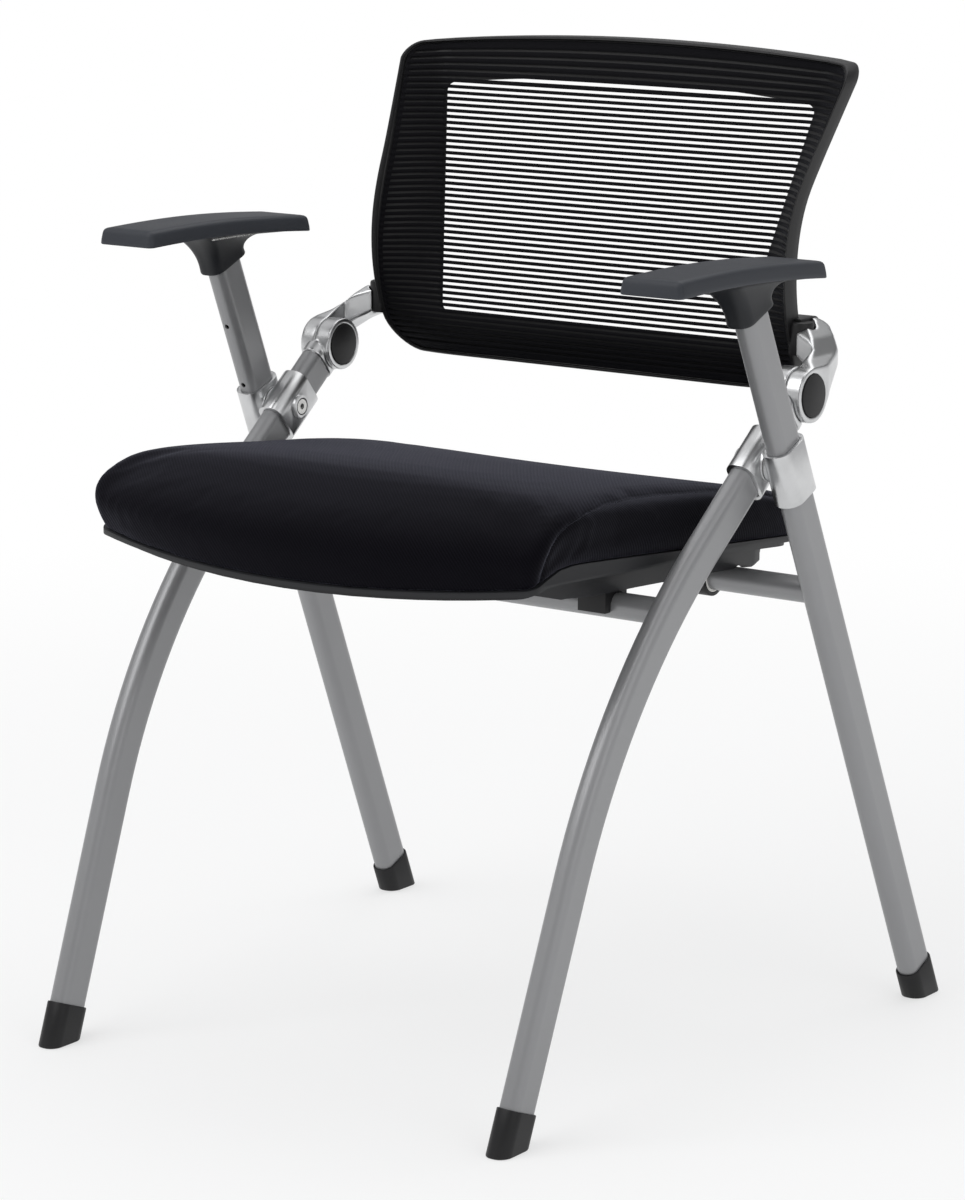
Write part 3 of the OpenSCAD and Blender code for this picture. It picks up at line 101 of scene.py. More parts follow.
def pick(obj: bpy.types.Object) -> None:
    """Makes one object the only selected one and the active one.

    Args:
        obj: The object to select.
    """
    clear_selection()
    obj.select_set(True)
    bpy.context.view_layer.objects.active = obj


def edit_all(obj: bpy.types.Object) -> None:
    """Opens a piece in edit mode with all of it selected.

    Args:
        obj: The piece.
    """
    pick(obj)
    bpy.ops.object.mode_set(mode="EDIT")
    bpy.ops.mesh.select_all(action="SELECT")


def copied(source: bpy.types.Object, name: str) -> bpy.types.Object:
    """Copies an object together with its mesh.

    Args:
        source: The object to copy.
        name: The copy's name.

    Returns:
        The copy.
    """
    obj = bpy.data.objects.new(name, source.data.copy())
    bpy.context.scene.collection.objects.link(obj)
    return obj


def modify(obj: bpy.types.Object, kind: str, **settings: object) -> None:
    """Adds a modifier with the given settings and applies it.

    Args:
        obj: The object to change.
        kind: The modifier's type.
        **settings: Its properties by name.
    """
    pick(obj)
    modifier = obj.modifiers.new(kind.lower(), kind)
    for name, value in settings.items():
        setattr(modifier, name, value)
    bpy.ops.object.modifier_apply(modifier=modifier.name)


def smooth(obj: bpy.types.Object, degrees: float) -> bpy.types.Object:
    """Shades a piece smooth, but keeps edges sharper than the angle.

    Args:
        obj: The piece.
        degrees: The largest angle that is shaded smooth.

    Returns:
        The same piece.
    """
    pick(obj)
    bpy.ops.object.shade_smooth_by_angle(angle=math.radians(degrees))
    return obj


def loft(
    name: str,
    rings: Sequence[Sequence[Point]],
    closed: bool = False,
    caps: bool = True,
) -> bpy.types.Object:
    """Skins a row of equal rings by extruding a circle's edge loop from ring to ring.

    Args:
        name: The piece's name.
        rings: The rings' points, all in the same order and number.
        closed: Whether the last ring joins the first one.
        caps: Whether the two end rings are filled.

    Returns:
        The new piece, with its place in its mesh.
    """
    clear_selection()
    bpy.ops.mesh.primitive_circle_add(vertices=len(rings[0]), radius=1.0, enter_editmode=True)
    obj = bpy.context.object
    obj.name = obj.data.name = name
    mesh = bmesh.from_edit_mesh(obj.data)
    order = mesh.verts.layers.int.new("order")
    mesh.verts.ensure_lookup_table()
    for i, (vert, place) in enumerate(zip(mesh.verts, rings[0])):
        vert.co, vert[order] = place, i
    bmesh.update_edit_mesh(obj.data)
    path = list(rings[1:]) + ([rings[0]] if closed else [])
    for ring in path:
        bpy.ops.mesh.extrude_edges_move()
        mesh = bmesh.from_edit_mesh(obj.data)
        order = mesh.verts.layers.int["order"]
        for vert in mesh.verts:
            if vert.select:
                vert.co = ring[vert[order]]
        bmesh.update_edit_mesh(obj.data)
    if caps and not closed:
        bpy.ops.mesh.edge_face_add()
        mesh = bmesh.from_edit_mesh(obj.data)
        for edge in mesh.edges:
            edge.select_set(False)
        for edge in [e for e in mesh.edges if e.is_boundary]:
            edge.select_set(True)
        mesh.select_flush_mode()
        bmesh.update_edit_mesh(obj.data)
        if any(e.is_boundary for e in mesh.edges):
            bpy.ops.mesh.edge_face_add()
    bpy.ops.mesh.select_all(action="SELECT")
    bpy.ops.mesh.remove_doubles(threshold=WELD)
    bpy.ops.mesh.normals_make_consistent(inside=False)
    bpy.ops.object.mode_set(mode="OBJECT")
    return obj


def join(name: str, parts: Sequence[bpy.types.Object]) -> bpy.types.Object:
    """Joins pieces into the first one.

    Args:
        name: The joined piece's name.
        parts: The pieces.

    Returns:
        The joined piece.
    """
    pick(parts[0])
    for part in parts[1:]:
        part.select_set(True)
    bpy.ops.object.join()
    parts[0].name = parts[0].data.name = name
    return parts[0]


def softened(node: str, width: float, segments: int = 2, angle: float = 32.0) -> bpy.types.Object:
    """Copies a node's mesh and rounds its sharp edges, as a casting or moulding has them.

    Args:
        node: The node to copy.
        width: The bevel's width.
        segments: The bevel's facets.
        angle: The least angle that is bevelled, in degrees.

    Returns:
        The rounded copy.
    """
    obj = copied(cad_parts[node], f"{node}_soft")
    edit_all(obj)
    bpy.ops.mesh.remove_doubles(threshold=NODE_WELD)
    bpy.ops.mesh.customdata_custom_splitnormals_clear()
    bpy.ops.mesh.dissolve_limited(angle_limit=math.radians(FLAT_DEGREES))
    bpy.ops.object.mode_set(mode="OBJECT")
    modify(
        obj, "BEVEL", width=width, segments=segments, limit_method="ANGLE",
        angle_limit=math.radians(angle), use_clamp_overlap=True, miter_outer="MITER_ARC",
    )
    return smooth(obj, 40)


def cast_form(
    node: str,
    width: float = 0.0010,
    voxel: float = 0.0009,
    rounds: int = 14,
    hollow: bpy.types.Object | None = None,
) -> bpy.types.Object:
    """Copies a node's mesh and flows its edges together, as a heavy casting has them.

    Args:
        node: The node to copy.
        width: Width of the bevel that comes first.
        voxel: Size of the skin's cells.
        rounds: How often the skin is smoothed.
        hollow: A form that is cut out before the skin is laid, and then removed.

    Returns:
        The flowing copy.
    """
    obj = softened(node, width, 1)
    if hollow:
        modify(obj, "BOOLEAN", operation="DIFFERENCE", object=hollow, solver="EXACT")
        bpy.data.objects.remove(hollow)
    modify(obj, "REMESH", mode="VOXEL", voxel_size=voxel, use_smooth_shade=True)
    modify(obj, "SMOOTH", factor=0.5, iterations=rounds)
    return smooth(obj, 60)


def corner_arc(before: Vector, here: Vector, after: Vector, radius: float, steps: int) -> list[Vector]:
    """Points that round one corner of an outline.

    Args:
        before: The corner before it.
        here: The corner.
        after: The corner after it.
        radius: The arc's radius.
        steps: Parts of the arc.

    Returns:
        The arc's points, from the side of the corner before it.
    """
    back, on = (before - here).normalized(), (after - here).normalized()
    half = math.acos(max(-1.0, min(1.0, back.dot(on)))) / 2
    centre = here + (back + on).normalized() * radius / math.sin(half)
    start = here + back * radius / math.tan(half) - centre
    end = here + on * radius / math.tan(half) - centre
    first = math.atan2(start.y, start.x)
    turn = (math.atan2(end.y, end.x) - first + 3 * math.pi) % (2 * math.pi) - math.pi
    angles = [first + turn * i / steps for i in range(steps + 1)]
    return [centre + Vector((math.cos(a), math.sin(a))) * radius for a in angles]


def rounded_outline(corners: Sequence[Point], steps: int = 6, along: int = 1) -> list[Flat]:
    """Points of a polygon whose corners are rounded.

    Args:
        corners: Each corner as x, y and radius.
        steps: Parts of each corner's arc.
        along: Parts that each straight is cut into.

    Returns:
        The outline's points, in the corners' order.
    """
    count = len(corners)
    arcs = []
    for k, (x, y, radius) in enumerate(corners):
        before, here, after = Vector(corners[k - 1][:2]), Vector((x, y)), Vector(corners[(k + 1) % count][:2])
        arcs.append([here] if radius <= 0 else corner_arc(before, here, after, radius, steps))
    points: list[Flat] = []
    for k, arc in enumerate(arcs):
        following = arcs[(k + 1) % count][0]
        straight = [arc[-1].lerp(following, i / along) for i in range(1, along)]
        points += [(p.x, p.y) for p in arc + straight]
    return points


def rounded_box(xs: Flat, ys: Flat, corner: float, steps: int, along: int) -> list[Flat]:
    """Points of a rectangle whose corners are rounded.

    Args:
        xs: Its two limits in X.
        ys: Its two limits in Y.
        corner: The corners' radius.
        steps: Parts of each corner's arc.
        along: Parts that each straight is cut into.

    Returns:
        The outline's points.
    """
    (x0, x1), (y0, y1) = xs, ys
    corners = [(x0, y0, corner), (x1, y0, corner), (x1, y1, corner), (x0, y1, corner)]
    return rounded_outline(corners, steps, along)


def mirrored_copy(obj: bpy.types.Object) -> bpy.types.Object:
    """Copies a piece to the other side of the chair.

    Args:
        obj: The piece of the right side.

    Returns:
        The mirrored piece, with its normals outwards.
    """
    twin = copied(obj, obj.name + "_twin")
    edit_all(twin)
    mesh = bmesh.from_edit_mesh(twin.data)
    for vert in mesh.verts:
        vert.co.x = -vert.co.x
    bmesh.update_edit_mesh(twin.data)
    bpy.ops.mesh.flip_normals()
    bpy.ops.object.mode_set(mode="OBJECT")
    return smooth(twin, 50)


def unit(value: float) -> float:
    """A value held between 0 and 1."""
    return max(0.0, min(1.0, value))


def soft_max(a: float, b: float, width: float) -> float:
    """Larger of two values, with a smooth step over."""
    return (a + b) / 2 + math.sqrt(((a - b) / 2) ** 2 + width * width)


def soft_min(a: float, b: float, width: float) -> float:
    """Smaller of two values, with a smooth step over."""
    return (a + b) / 2 - math.sqrt(((a - b) / 2) ** 2 + width * width)


# Shader arithmetic


class Signal:
    """A number's socket in a shader, with arithmetic that adds Math nodes."""

    def __init__(self, graph: "Graph", socket: bpy.types.NodeSocket) -> None:
        """Wraps a socket of a graph."""
        self.graph, self.socket = graph, socket

    def maths(self, operation: str, *others: "Signal | float") -> "Signal":
        """Result of a Math node whose first value is this one."""
        return self.graph.maths(operation, self, *others)

    def __add__(self, other: "Signal | float") -> "Signal":
        """Sum."""
        return self.maths("ADD", other)

    __radd__ = __add__

    def __sub__(self, other: "Signal | float") -> "Signal":
        """Difference."""
        return self.maths("SUBTRACT", other)

    def __rsub__(self, other: "Signal | float") -> "Signal":
        """Difference from a value."""
        return self.graph.maths("SUBTRACT", other, self)

    def __mul__(self, other: "Signal | float") -> "Signal":
        """Product."""
        return self.maths("MULTIPLY", other)

    __rmul__ = __mul__

    def sine(self) -> "Signal":
        """Sine."""
        return self.maths("SINE")

    def size(self) -> "Signal":
        """Absolute value."""
        return self.maths("ABSOLUTE")

    def step(self, low: float, high: float) -> "Signal":
        """A smooth rise from 0 to 1.

        Args:
            low: The value up to which the result is 0.
            high: The value from which it is 1.

        Returns:
            The risen signal.
        """
        node = self.graph.node(
            "ShaderNodeMapRange", {"interpolation_type": "SMOOTHSTEP"},
            {"Value": self, "From Min": low, "From Max": high},
        )
        return self.graph.signal(node, "Result")


class Graph:
    """The node tree of one material or world."""

    def __init__(self, name: str, kind: str = "materials") -> None:
        """Makes a material or a world with an empty node tree.

        Args:
            name: Its name.
            kind: The list of bpy.data that it goes into, "materials" or "worlds".
        """
        self.owner = getattr(bpy.data, kind).new(name)
        self.owner.use_nodes = True
        self.tree = self.owner.node_tree
        self.tree.nodes.clear()

    def node(self, kind: str, settings: dict | None = None, inputs: dict | None = None) -> bpy.types.Node:
        """Adds a node, sets its settings first and then its inputs.

        Args:
            kind: The node's type.
            settings: Properties by name; "stops" holds a ramp's rows of place and colour.
            inputs: Values, signals or sockets by input name or number.

        Returns:
            The new node.
        """
        node = self.tree.nodes.new(kind)
        for name, value in (settings or {}).items():
            if name == "stops":
                ramp = node.color_ramp.elements
                while len(ramp) < len(value):
                    ramp.new(1.0)
                for stop, (place, color) in zip(ramp, value):
                    stop.position, stop.color = place, (*color, 1.0)
            else:
                setattr(node, name, value)
        for name, value in (inputs or {}).items():
            socket = node.inputs[name]
            if isinstance(value, Signal):
                self.tree.links.new(value.socket, socket)
            elif isinstance(value, bpy.types.NodeSocket):
                self.tree.links.new(value, socket)
            else:
                socket.default_value = value
        return node

    def signal(self, node: bpy.types.Node, output: str | int) -> Signal:
        """Wraps an output of a node."""
        return Signal(self, node.outputs[output])

    def maths(self, operation: str, *values: Signal | float) -> Signal:
        """Adds a Math node over the values."""
        node = self.node("ShaderNodeMath", {"operation": operation}, dict(enumerate(values)))
        return self.signal(node, 0)

    def place(self) -> bpy.types.NodeSocket:
        """Object coordinates of the surface."""
        return self.node("ShaderNodeTexCoord").outputs["Object"]

    def parts(self, vector: bpy.types.NodeSocket) -> tuple[Signal, Signal, Signal]:
        """The three numbers of a vector."""
        node = self.node("ShaderNodeSeparateXYZ", {}, {"Vector": vector})
        return self.signal(node, 0), self.signal(node, 1), self.signal(node, 2)

    def noise(self, scale: float, detail: float) -> Signal:
        """Noise from 0 to 1 over the object's own place.

        Args:
            scale: Waves in a metre.
            detail: Octaves of finer noise.

        Returns:
            The noise.
        """
        node = self.node(
            "ShaderNodeTexNoise", {"noise_dimensions": "3D"},
            {"Vector": self.place(), "Scale": scale, "Detail": detail},
        )
        return self.signal(node, 0)

    def mixed(
        self,
        factor: Signal | float,
        low: Point | bpy.types.NodeSocket,
        high: Point | bpy.types.NodeSocket,
    ) -> bpy.types.NodeSocket:
        """A colour between two colours.

        Args:
            factor: 0 for the first colour and 1 for the second.
            low: The first colour, as three numbers or a socket.
            high: The second colour.

        Returns:
            The mixed colour.
        """
        color = [c if isinstance(c, bpy.types.NodeSocket) else (*c, 1.0) for c in (low, high)]
        node = self.node(
            "ShaderNodeMix", {"data_type": "RGBA", "clamp_factor": True},
            {0: factor, 6: color[0], 7: color[1]},
        )
        return node.outputs[2]

    def bump(self, height: Signal, distance: float, strength: float) -> bpy.types.NodeSocket:
        """The normal of a surface that is raised by a height.

        Args:
            height: The height, from 0 to 1.
            distance: What a height of 1 means, in metres.
            strength: Share of the bump that shows.

        Returns:
            The normal.
        """
        inputs = {"Height": height, "Distance": distance, "Strength": strength}
        return self.node("ShaderNodeBump", {}, inputs).outputs[0]

    def finish(self, **inputs: object) -> bpy.types.Material:
        """Ends the material in one Principled shader.

        Args:
            **inputs: The shader's inputs, with _ for a space in their names.

        Returns:
            The material.
        """
        named = {name.replace("_", " "): value for name, value in inputs.items()}
        shader = self.node("ShaderNodeBsdfPrincipled", {}, named)
        self.node("ShaderNodeOutputMaterial", {}, {"Surface": shader.outputs[0]})
        return self.owner

    def cloth_plane(self, panel: Signal, turn: float = 0.05) -> tuple[Signal, Signal]:
        """Two coordinates along the seat's cloth, which runs from the top down over the front.

        Args:
            panel: 1 on the sewn side panel and 0 on the top and front.
            turn: How softly the side panel changes from its flanks to its rear.

        Returns:
            The two coordinates, in metres.
        """
        x, y, z = self.parts(self.place())
        normal = self.node("ShaderNodeTexCoord").outputs["Normal"]
        nx, ny, _ = (n.size() for n in self.parts(normal))
        side = (nx - ny).step(-turn, turn)
        flank = side * y + (1.0 - side) * x
        over = 1.0 - panel
        return panel * flank + over * x, panel * z + over * (y + z)


# Finishes


@dataclass(frozen=True)
class SatinPaint:
    """Silver-grey satin powder paint on the tubes."""

    name: str = "tube_satin_paint"
    color: Point = (0.306, 0.307, 0.314)
    dull: Point = (0.254, 0.255, 0.261)
    roughness: float = 0.36
    metallic: float = 0.35

    def material(self) -> bpy.types.Material:
        """Fine flakes, faint orange peel and colour slightly darker towards the floor.

        Returns:
            The material.
        """
        g = Graph(self.name)
        _, _, z = g.parts(g.place())
        cloud = g.noise(9.0, 3.0)
        flake = g.noise(2600.0, 1.0)
        peel = g.noise(420.0, 1.0)
        # Colour slightly darker towards the floor.
        low = 1.0 - z.step(0.03, 0.16)
        shade = cloud * 0.5 + flake * 0.35 + low * 0.25
        base = g.mixed(shade - 0.25, self.color, self.dull)
        return g.finish(
            Base_Color=base,
            Roughness=self.roughness + (flake - 0.5) * 0.16 + (cloud - 0.5) * 0.06,
            Metallic=self.metallic,
            Specular_IOR_Level=0.5,
            Normal=g.bump(peel, 0.00012, 0.35),
        )


@dataclass(frozen=True)
class PolishedCasting:
    """Tumbled and polished die-cast aluminium."""

    name: str = "cast_alloy_polished"
    bright: Point = (0.63, 0.635, 0.64)
    worn: Point = (0.46, 0.465, 0.47)
    roughness: float = 0.29

    def material(self) -> bpy.types.Material:
        """Soft ripples of hand polishing, with faint pits and duller hollows.

        Returns:
            The material.
        """
        g = Graph(self.name)
        ripple = g.noise(85.0, 2.0)
        cloud = g.noise(38.0, 4.0)
        pits = g.noise(1500.0, 1.0)
        hollow = g.signal(g.node("ShaderNodeNewGeometry"), "Pointiness")
        dark = (0.5 - hollow).step(0.0, 0.06)
        height = ripple * 0.8 + pits * 0.05
        return g.finish(
            Base_Color=g.mixed(cloud.step(0.35, 0.75) * 0.5 + dark * 0.4, self.bright, self.worn),
            Roughness=self.roughness + (cloud - 0.4) * 0.10 + dark * 0.1,
            Metallic=1.0,
            Normal=g.bump(height, 0.00022, 0.22),
        )


@dataclass(frozen=True)
class MachinedSteel:
    """Zinc-plated steel of the bolts, pins and screws."""

    name: str = "steel_plated"
    color: Point = (0.62, 0.62, 0.61)
    grime: Point = (0.42, 0.42, 0.41)
    roughness: float = 0.27

    def material(self) -> bpy.types.Material:
        """Fine even grain of the plating and a little grime.

        Returns:
            The material.
        """
        g = Graph(self.name)
        cloud = g.noise(160.0, 3.0)
        fine = g.noise(2400.0, 1.0)
        return g.finish(
            Base_Color=g.mixed(cloud * 0.7, self.color, self.grime),
            Roughness=self.roughness + (cloud - 0.5) * 0.2,
            Metallic=1.0,
            Normal=g.bump(fine, 0.00006, 0.5),
        )


@dataclass(frozen=True)
class MouldedPlastic:
    """Injection-moulded plastic with a spark-eroded grain."""

    name: str = "black_plastic"
    color: Point = (0.0085, 0.0083, 0.0090)
    pale: Point = (0.0150, 0.0147, 0.0155)
    roughness: float = 0.46
    grain: float = 1300.0
    depth: float = 0.00012
    cloud_scale: float = 14.0

    def material(self) -> bpy.types.Material:
        """Fine even grain, with slightly paler edges and soft patches of gloss.

        Returns:
            The material.
        """
        g = Graph(self.name)
        grain = g.noise(self.grain, 2.0)
        cloud = g.noise(self.cloud_scale, 3.0)
        edge = g.signal(g.node("ShaderNodeNewGeometry"), "Pointiness")
        worn = (edge - 0.5).step(0.01, 0.09)
        shade = cloud * 0.4 + grain * 0.3 + worn * 0.6
        return g.finish(
            Base_Color=g.mixed(shade - 0.1, self.color, self.pale),
            Roughness=self.roughness + (cloud - 0.5) * 0.14 + (grain - 0.5) * 0.1,
            Specular_IOR_Level=0.3,
            Normal=g.bump(grain, self.depth, 0.6),
        )


@dataclass(frozen=True)
class TwillCloth:
    """Woven polyester of the seat, in a fine diagonal twill."""

    name: str = "seat_twill"
    shade: Point = (0.0010, 0.0008, 0.0015)
    light: Point = (0.0044, 0.0039, 0.0068)
    stitch: Point = (0.002, 0.002, 0.003)
    pitch: float = 0.0026
    groove: Flat = (0.0003, 0.0016)

    def material(self) -> bpy.types.Material:
        """Diagonal ribs crossed by short floats, a sewn seam, and painted shade that makes the side panels a
        little darker.

        Returns:
            The material.
        """
        g = Graph(self.name)
        seam = g.signal(g.node("ShaderNodeAttribute", {"attribute_name": "seam"}), "Fac")
        panel = 1.0 - seam.step(-0.001, 0.0)
        u, v = g.cloth_plane(panel)
        turn = 2 * math.pi / self.pitch
        wobble = g.noise(260.0, 1.0) * 0.9
        rib = ((u * 0.78 + v * 0.63) * turn + wobble).sine() * 0.5 + 0.5
        thread = ((u * 0.63 - v * 0.78) * (turn * 1.9) + wobble).sine() * 0.5 + 0.5
        weave = rib * 0.65 + rib * thread * 0.35
        cloud = g.noise(22.0, 3.0)
        groove = 1.0 - seam.size().step(*self.groove)
        # Painted shade: the side panels are made a little darker in colour than the top and front.
        tone = weave * 0.75 + cloud * 0.25 - panel * 0.18
        base = g.mixed(groove * 0.9, g.mixed(tone, self.shade, self.light), self.stitch)
        return g.finish(
            Base_Color=base,
            Roughness=0.82 - weave * 0.12,
            Specular_IOR_Level=0.05,
            Sheen_Weight=0.19,
            Sheen_Roughness=0.36,
            Sheen_Tint=(0.62, 0.63, 0.80, 1.0),
            Normal=g.bump(weave * 0.5 - groove * 1.6, 0.00035, 0.7),
        )


@dataclass(frozen=True)
class RibbedMesh:
    """Elastic net of the back: flat ribs of fine yarn with open rows between them."""

    name: str = "back_net"
    shade: Point = (0.0013, 0.0011, 0.0018)
    light: Point = (0.0062, 0.0058, 0.0082)
    yarn: float = 0.00105

    def material(self) -> bpy.types.Material:
        """Short slanting yarns across each rib.

        Returns:
            The material.
        """
        g = Graph(self.name)
        x, _, z = g.parts(g.place())
        turn = 2 * math.pi / self.yarn
        one = ((x + z * 0.55) * turn).sine() * 0.5 + 0.5
        two = ((x * 0.5 - z * 1.1) * turn).sine() * 0.5 + 0.5
        dots = one * two
        cloud = g.noise(18.0, 2.0)
        return g.finish(
            Base_Color=g.mixed(dots * 0.9 + cloud * 0.1, self.shade, self.light),
            Roughness=0.72,
            Specular_IOR_Level=0.09,
            Sheen_Weight=0.04,
            Sheen_Roughness=0.5,
            Sheen_Tint=(0.7, 0.74, 0.85, 1.0),
            Normal=g.bump(dots, 0.0003, 0.8),
        )


@dataclass(frozen=True)
class Plywood:
    """Birch plywood of the seat board."""

    name: str = "board_plywood"
    light: Point = (0.56, 0.40, 0.23)
    dark: Point = (0.34, 0.21, 0.10)
    ply: float = 0.0026
    board_slope: float = 0.098

    def material(self) -> bpy.types.Material:
        """Long grain on the faces and thin dark veneer lines on the edges.

        Returns:
            The material.
        """
        g = Graph(self.name)
        x, y, z = g.parts(g.place())
        wave = g.noise(6.0, 4.0)
        grain = ((x * 60.0 + wave * 9.0).sine() * 0.5 + 0.5) * 0.6 + g.noise(180.0, 3.0) * 0.4
        layer = (z + y * self.board_slope) * (2 * math.pi / self.ply)
        veneer = (layer.sine() * 0.5 + 0.5).step(0.6, 0.95)
        tone = grain * 0.7 + veneer * 0.3
        return g.finish(
            Base_Color=g.mixed(tone, self.light, self.dark),
            Roughness=0.62 + grain * 0.1,
            Normal=g.bump(grain, 0.0002, 0.4),
        )


def made_from(finish: type, *settings: object) -> Any:
    """Field of the wardrobe that holds a finish's material.

    Args:
        finish: The finish's class.
        *settings: Its fields, in their order.

    Returns:
        The field, which makes the material when the wardrobe is made.
    """
    return field(default_factory=lambda: finish(*settings).material())


@dataclass
class Wardrobe:
    """All finishes, made once and shared by the sub-assemblies."""

    paint: bpy.types.Material = made_from(SatinPaint)
    casting: bpy.types.Material = made_from(PolishedCasting)
    steel: bpy.types.Material = made_from(MachinedSteel)
    plastic: bpy.types.Material = made_from(MouldedPlastic)
    arm: bpy.types.Material = made_from(
        MouldedPlastic, "arm_plastic", (0.026, 0.029, 0.036), (0.046, 0.050, 0.060), 0.5, 1500.0, 0.0001
    )
    neck: bpy.types.Material = made_from(
        MouldedPlastic, "neck_plastic", (0.013, 0.0140, 0.0165), (0.024, 0.0260, 0.0300), 0.5, 1500.0, 0.0001
    )
    pan: bpy.types.Material = made_from(
        MouldedPlastic, "pan_plastic", (0.0125, 0.0128, 0.0145), (0.022, 0.0225, 0.025), 0.46, 1100.0, 0.00008
    )
    nylon: bpy.types.Material = made_from(
        MouldedPlastic, "white_nylon", (0.70, 0.69, 0.65), (0.80, 0.79, 0.76), 0.4, 500.0, 0.0001
    )
    cloth: bpy.types.Material = made_from(TwillCloth)
    net: bpy.types.Material = made_from(RibbedMesh)
    wood: bpy.types.Material = made_from(Plywood)


def dress_node(node: str, material: bpy.types.Material) -> None:
    """Gives a carried-over node its material.

    Args:
        node: The node's name.
        material: The material for all its slots.
    """
    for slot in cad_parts[node].material_slots:
        slot.material = material
    log.info("node %s wears %s", node, material.name)


def dress_piece(
    obj: bpy.types.Object,
    material: bpy.types.Material,
    body: Body,
    nodes: Iterable[str],
) -> bpy.types.Object:
    """Gives a new piece its material and its body, and hides the nodes that it stands for.

    Args:
        obj: The piece.
        material: Its material.
        body: The body that it rides on.
        nodes: The nodes that it replaces.

    Returns:
        The same piece.
    """
    obj.data.materials.clear()
    obj.data.materials.append(material)
    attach(obj, body.value)
    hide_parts(*nodes)
    log.info("piece %s: %d faces, body %s", obj.name, len(obj.data.polygons), body.value)
    return obj


def dress_rounded(node: str, width: float, material: bpy.types.Material, body: Body) -> None:
    """Puts a rounded copy in a node's place and dresses it.

    Args:
        node: The node.
        width: Width of the rounding.
        material: The copy's material.
        body: The body that it rides on.
    """
    dress_piece(softened(node, width), material, body, [node])


# The chair's sub-assemblies


@dataclass
class LegFrames:
    """Front and rear leg frames with their castings, feet and fasteners."""

    finishes: Wardrobe
    casting_round: float = 0.0012
    foot_round: float = 0.0014
    cap_round: float = 0.0005

    def build(self) -> None:
        """Dresses the tubes, washers and fasteners, and rounds the castings, feet and hub caps."""
        wear = self.finishes
        for side in Side:
            for stem in ("front_leg", "rear_leg"):
                dress_node(side.node(stem), wear.paint)
            for stem, body in (("leg_sleeve", Body.FRONT), ("leg_collar", Body.REAR)):
                dress_rounded(side.node(stem), self.casting_round, wear.casting, body)
            knuckle = side.node("hinge_knuckle")
            dress_piece(cast_form(knuckle), wear.casting, Body.FRONT, [knuckle])
            for stem, body in (("front_foot", Body.FRONT), ("rear_foot", Body.REAR)):
                dress_rounded(side.node(stem), self.foot_round, wear.plastic, body)
        for node in ("front_cross_tube", "rear_cross_tube"):
            dress_node(node, wear.paint)
        for node in ("pivot_bolts", "hinge_pins", "hinge_springs", "pivot_nuts"):
            dress_node(node, wear.steel)
        dress_node("pivot_washers", wear.nylon)
        dress_rounded("inner_hub_caps", self.cap_round, wear.plastic, Body.FRONT)


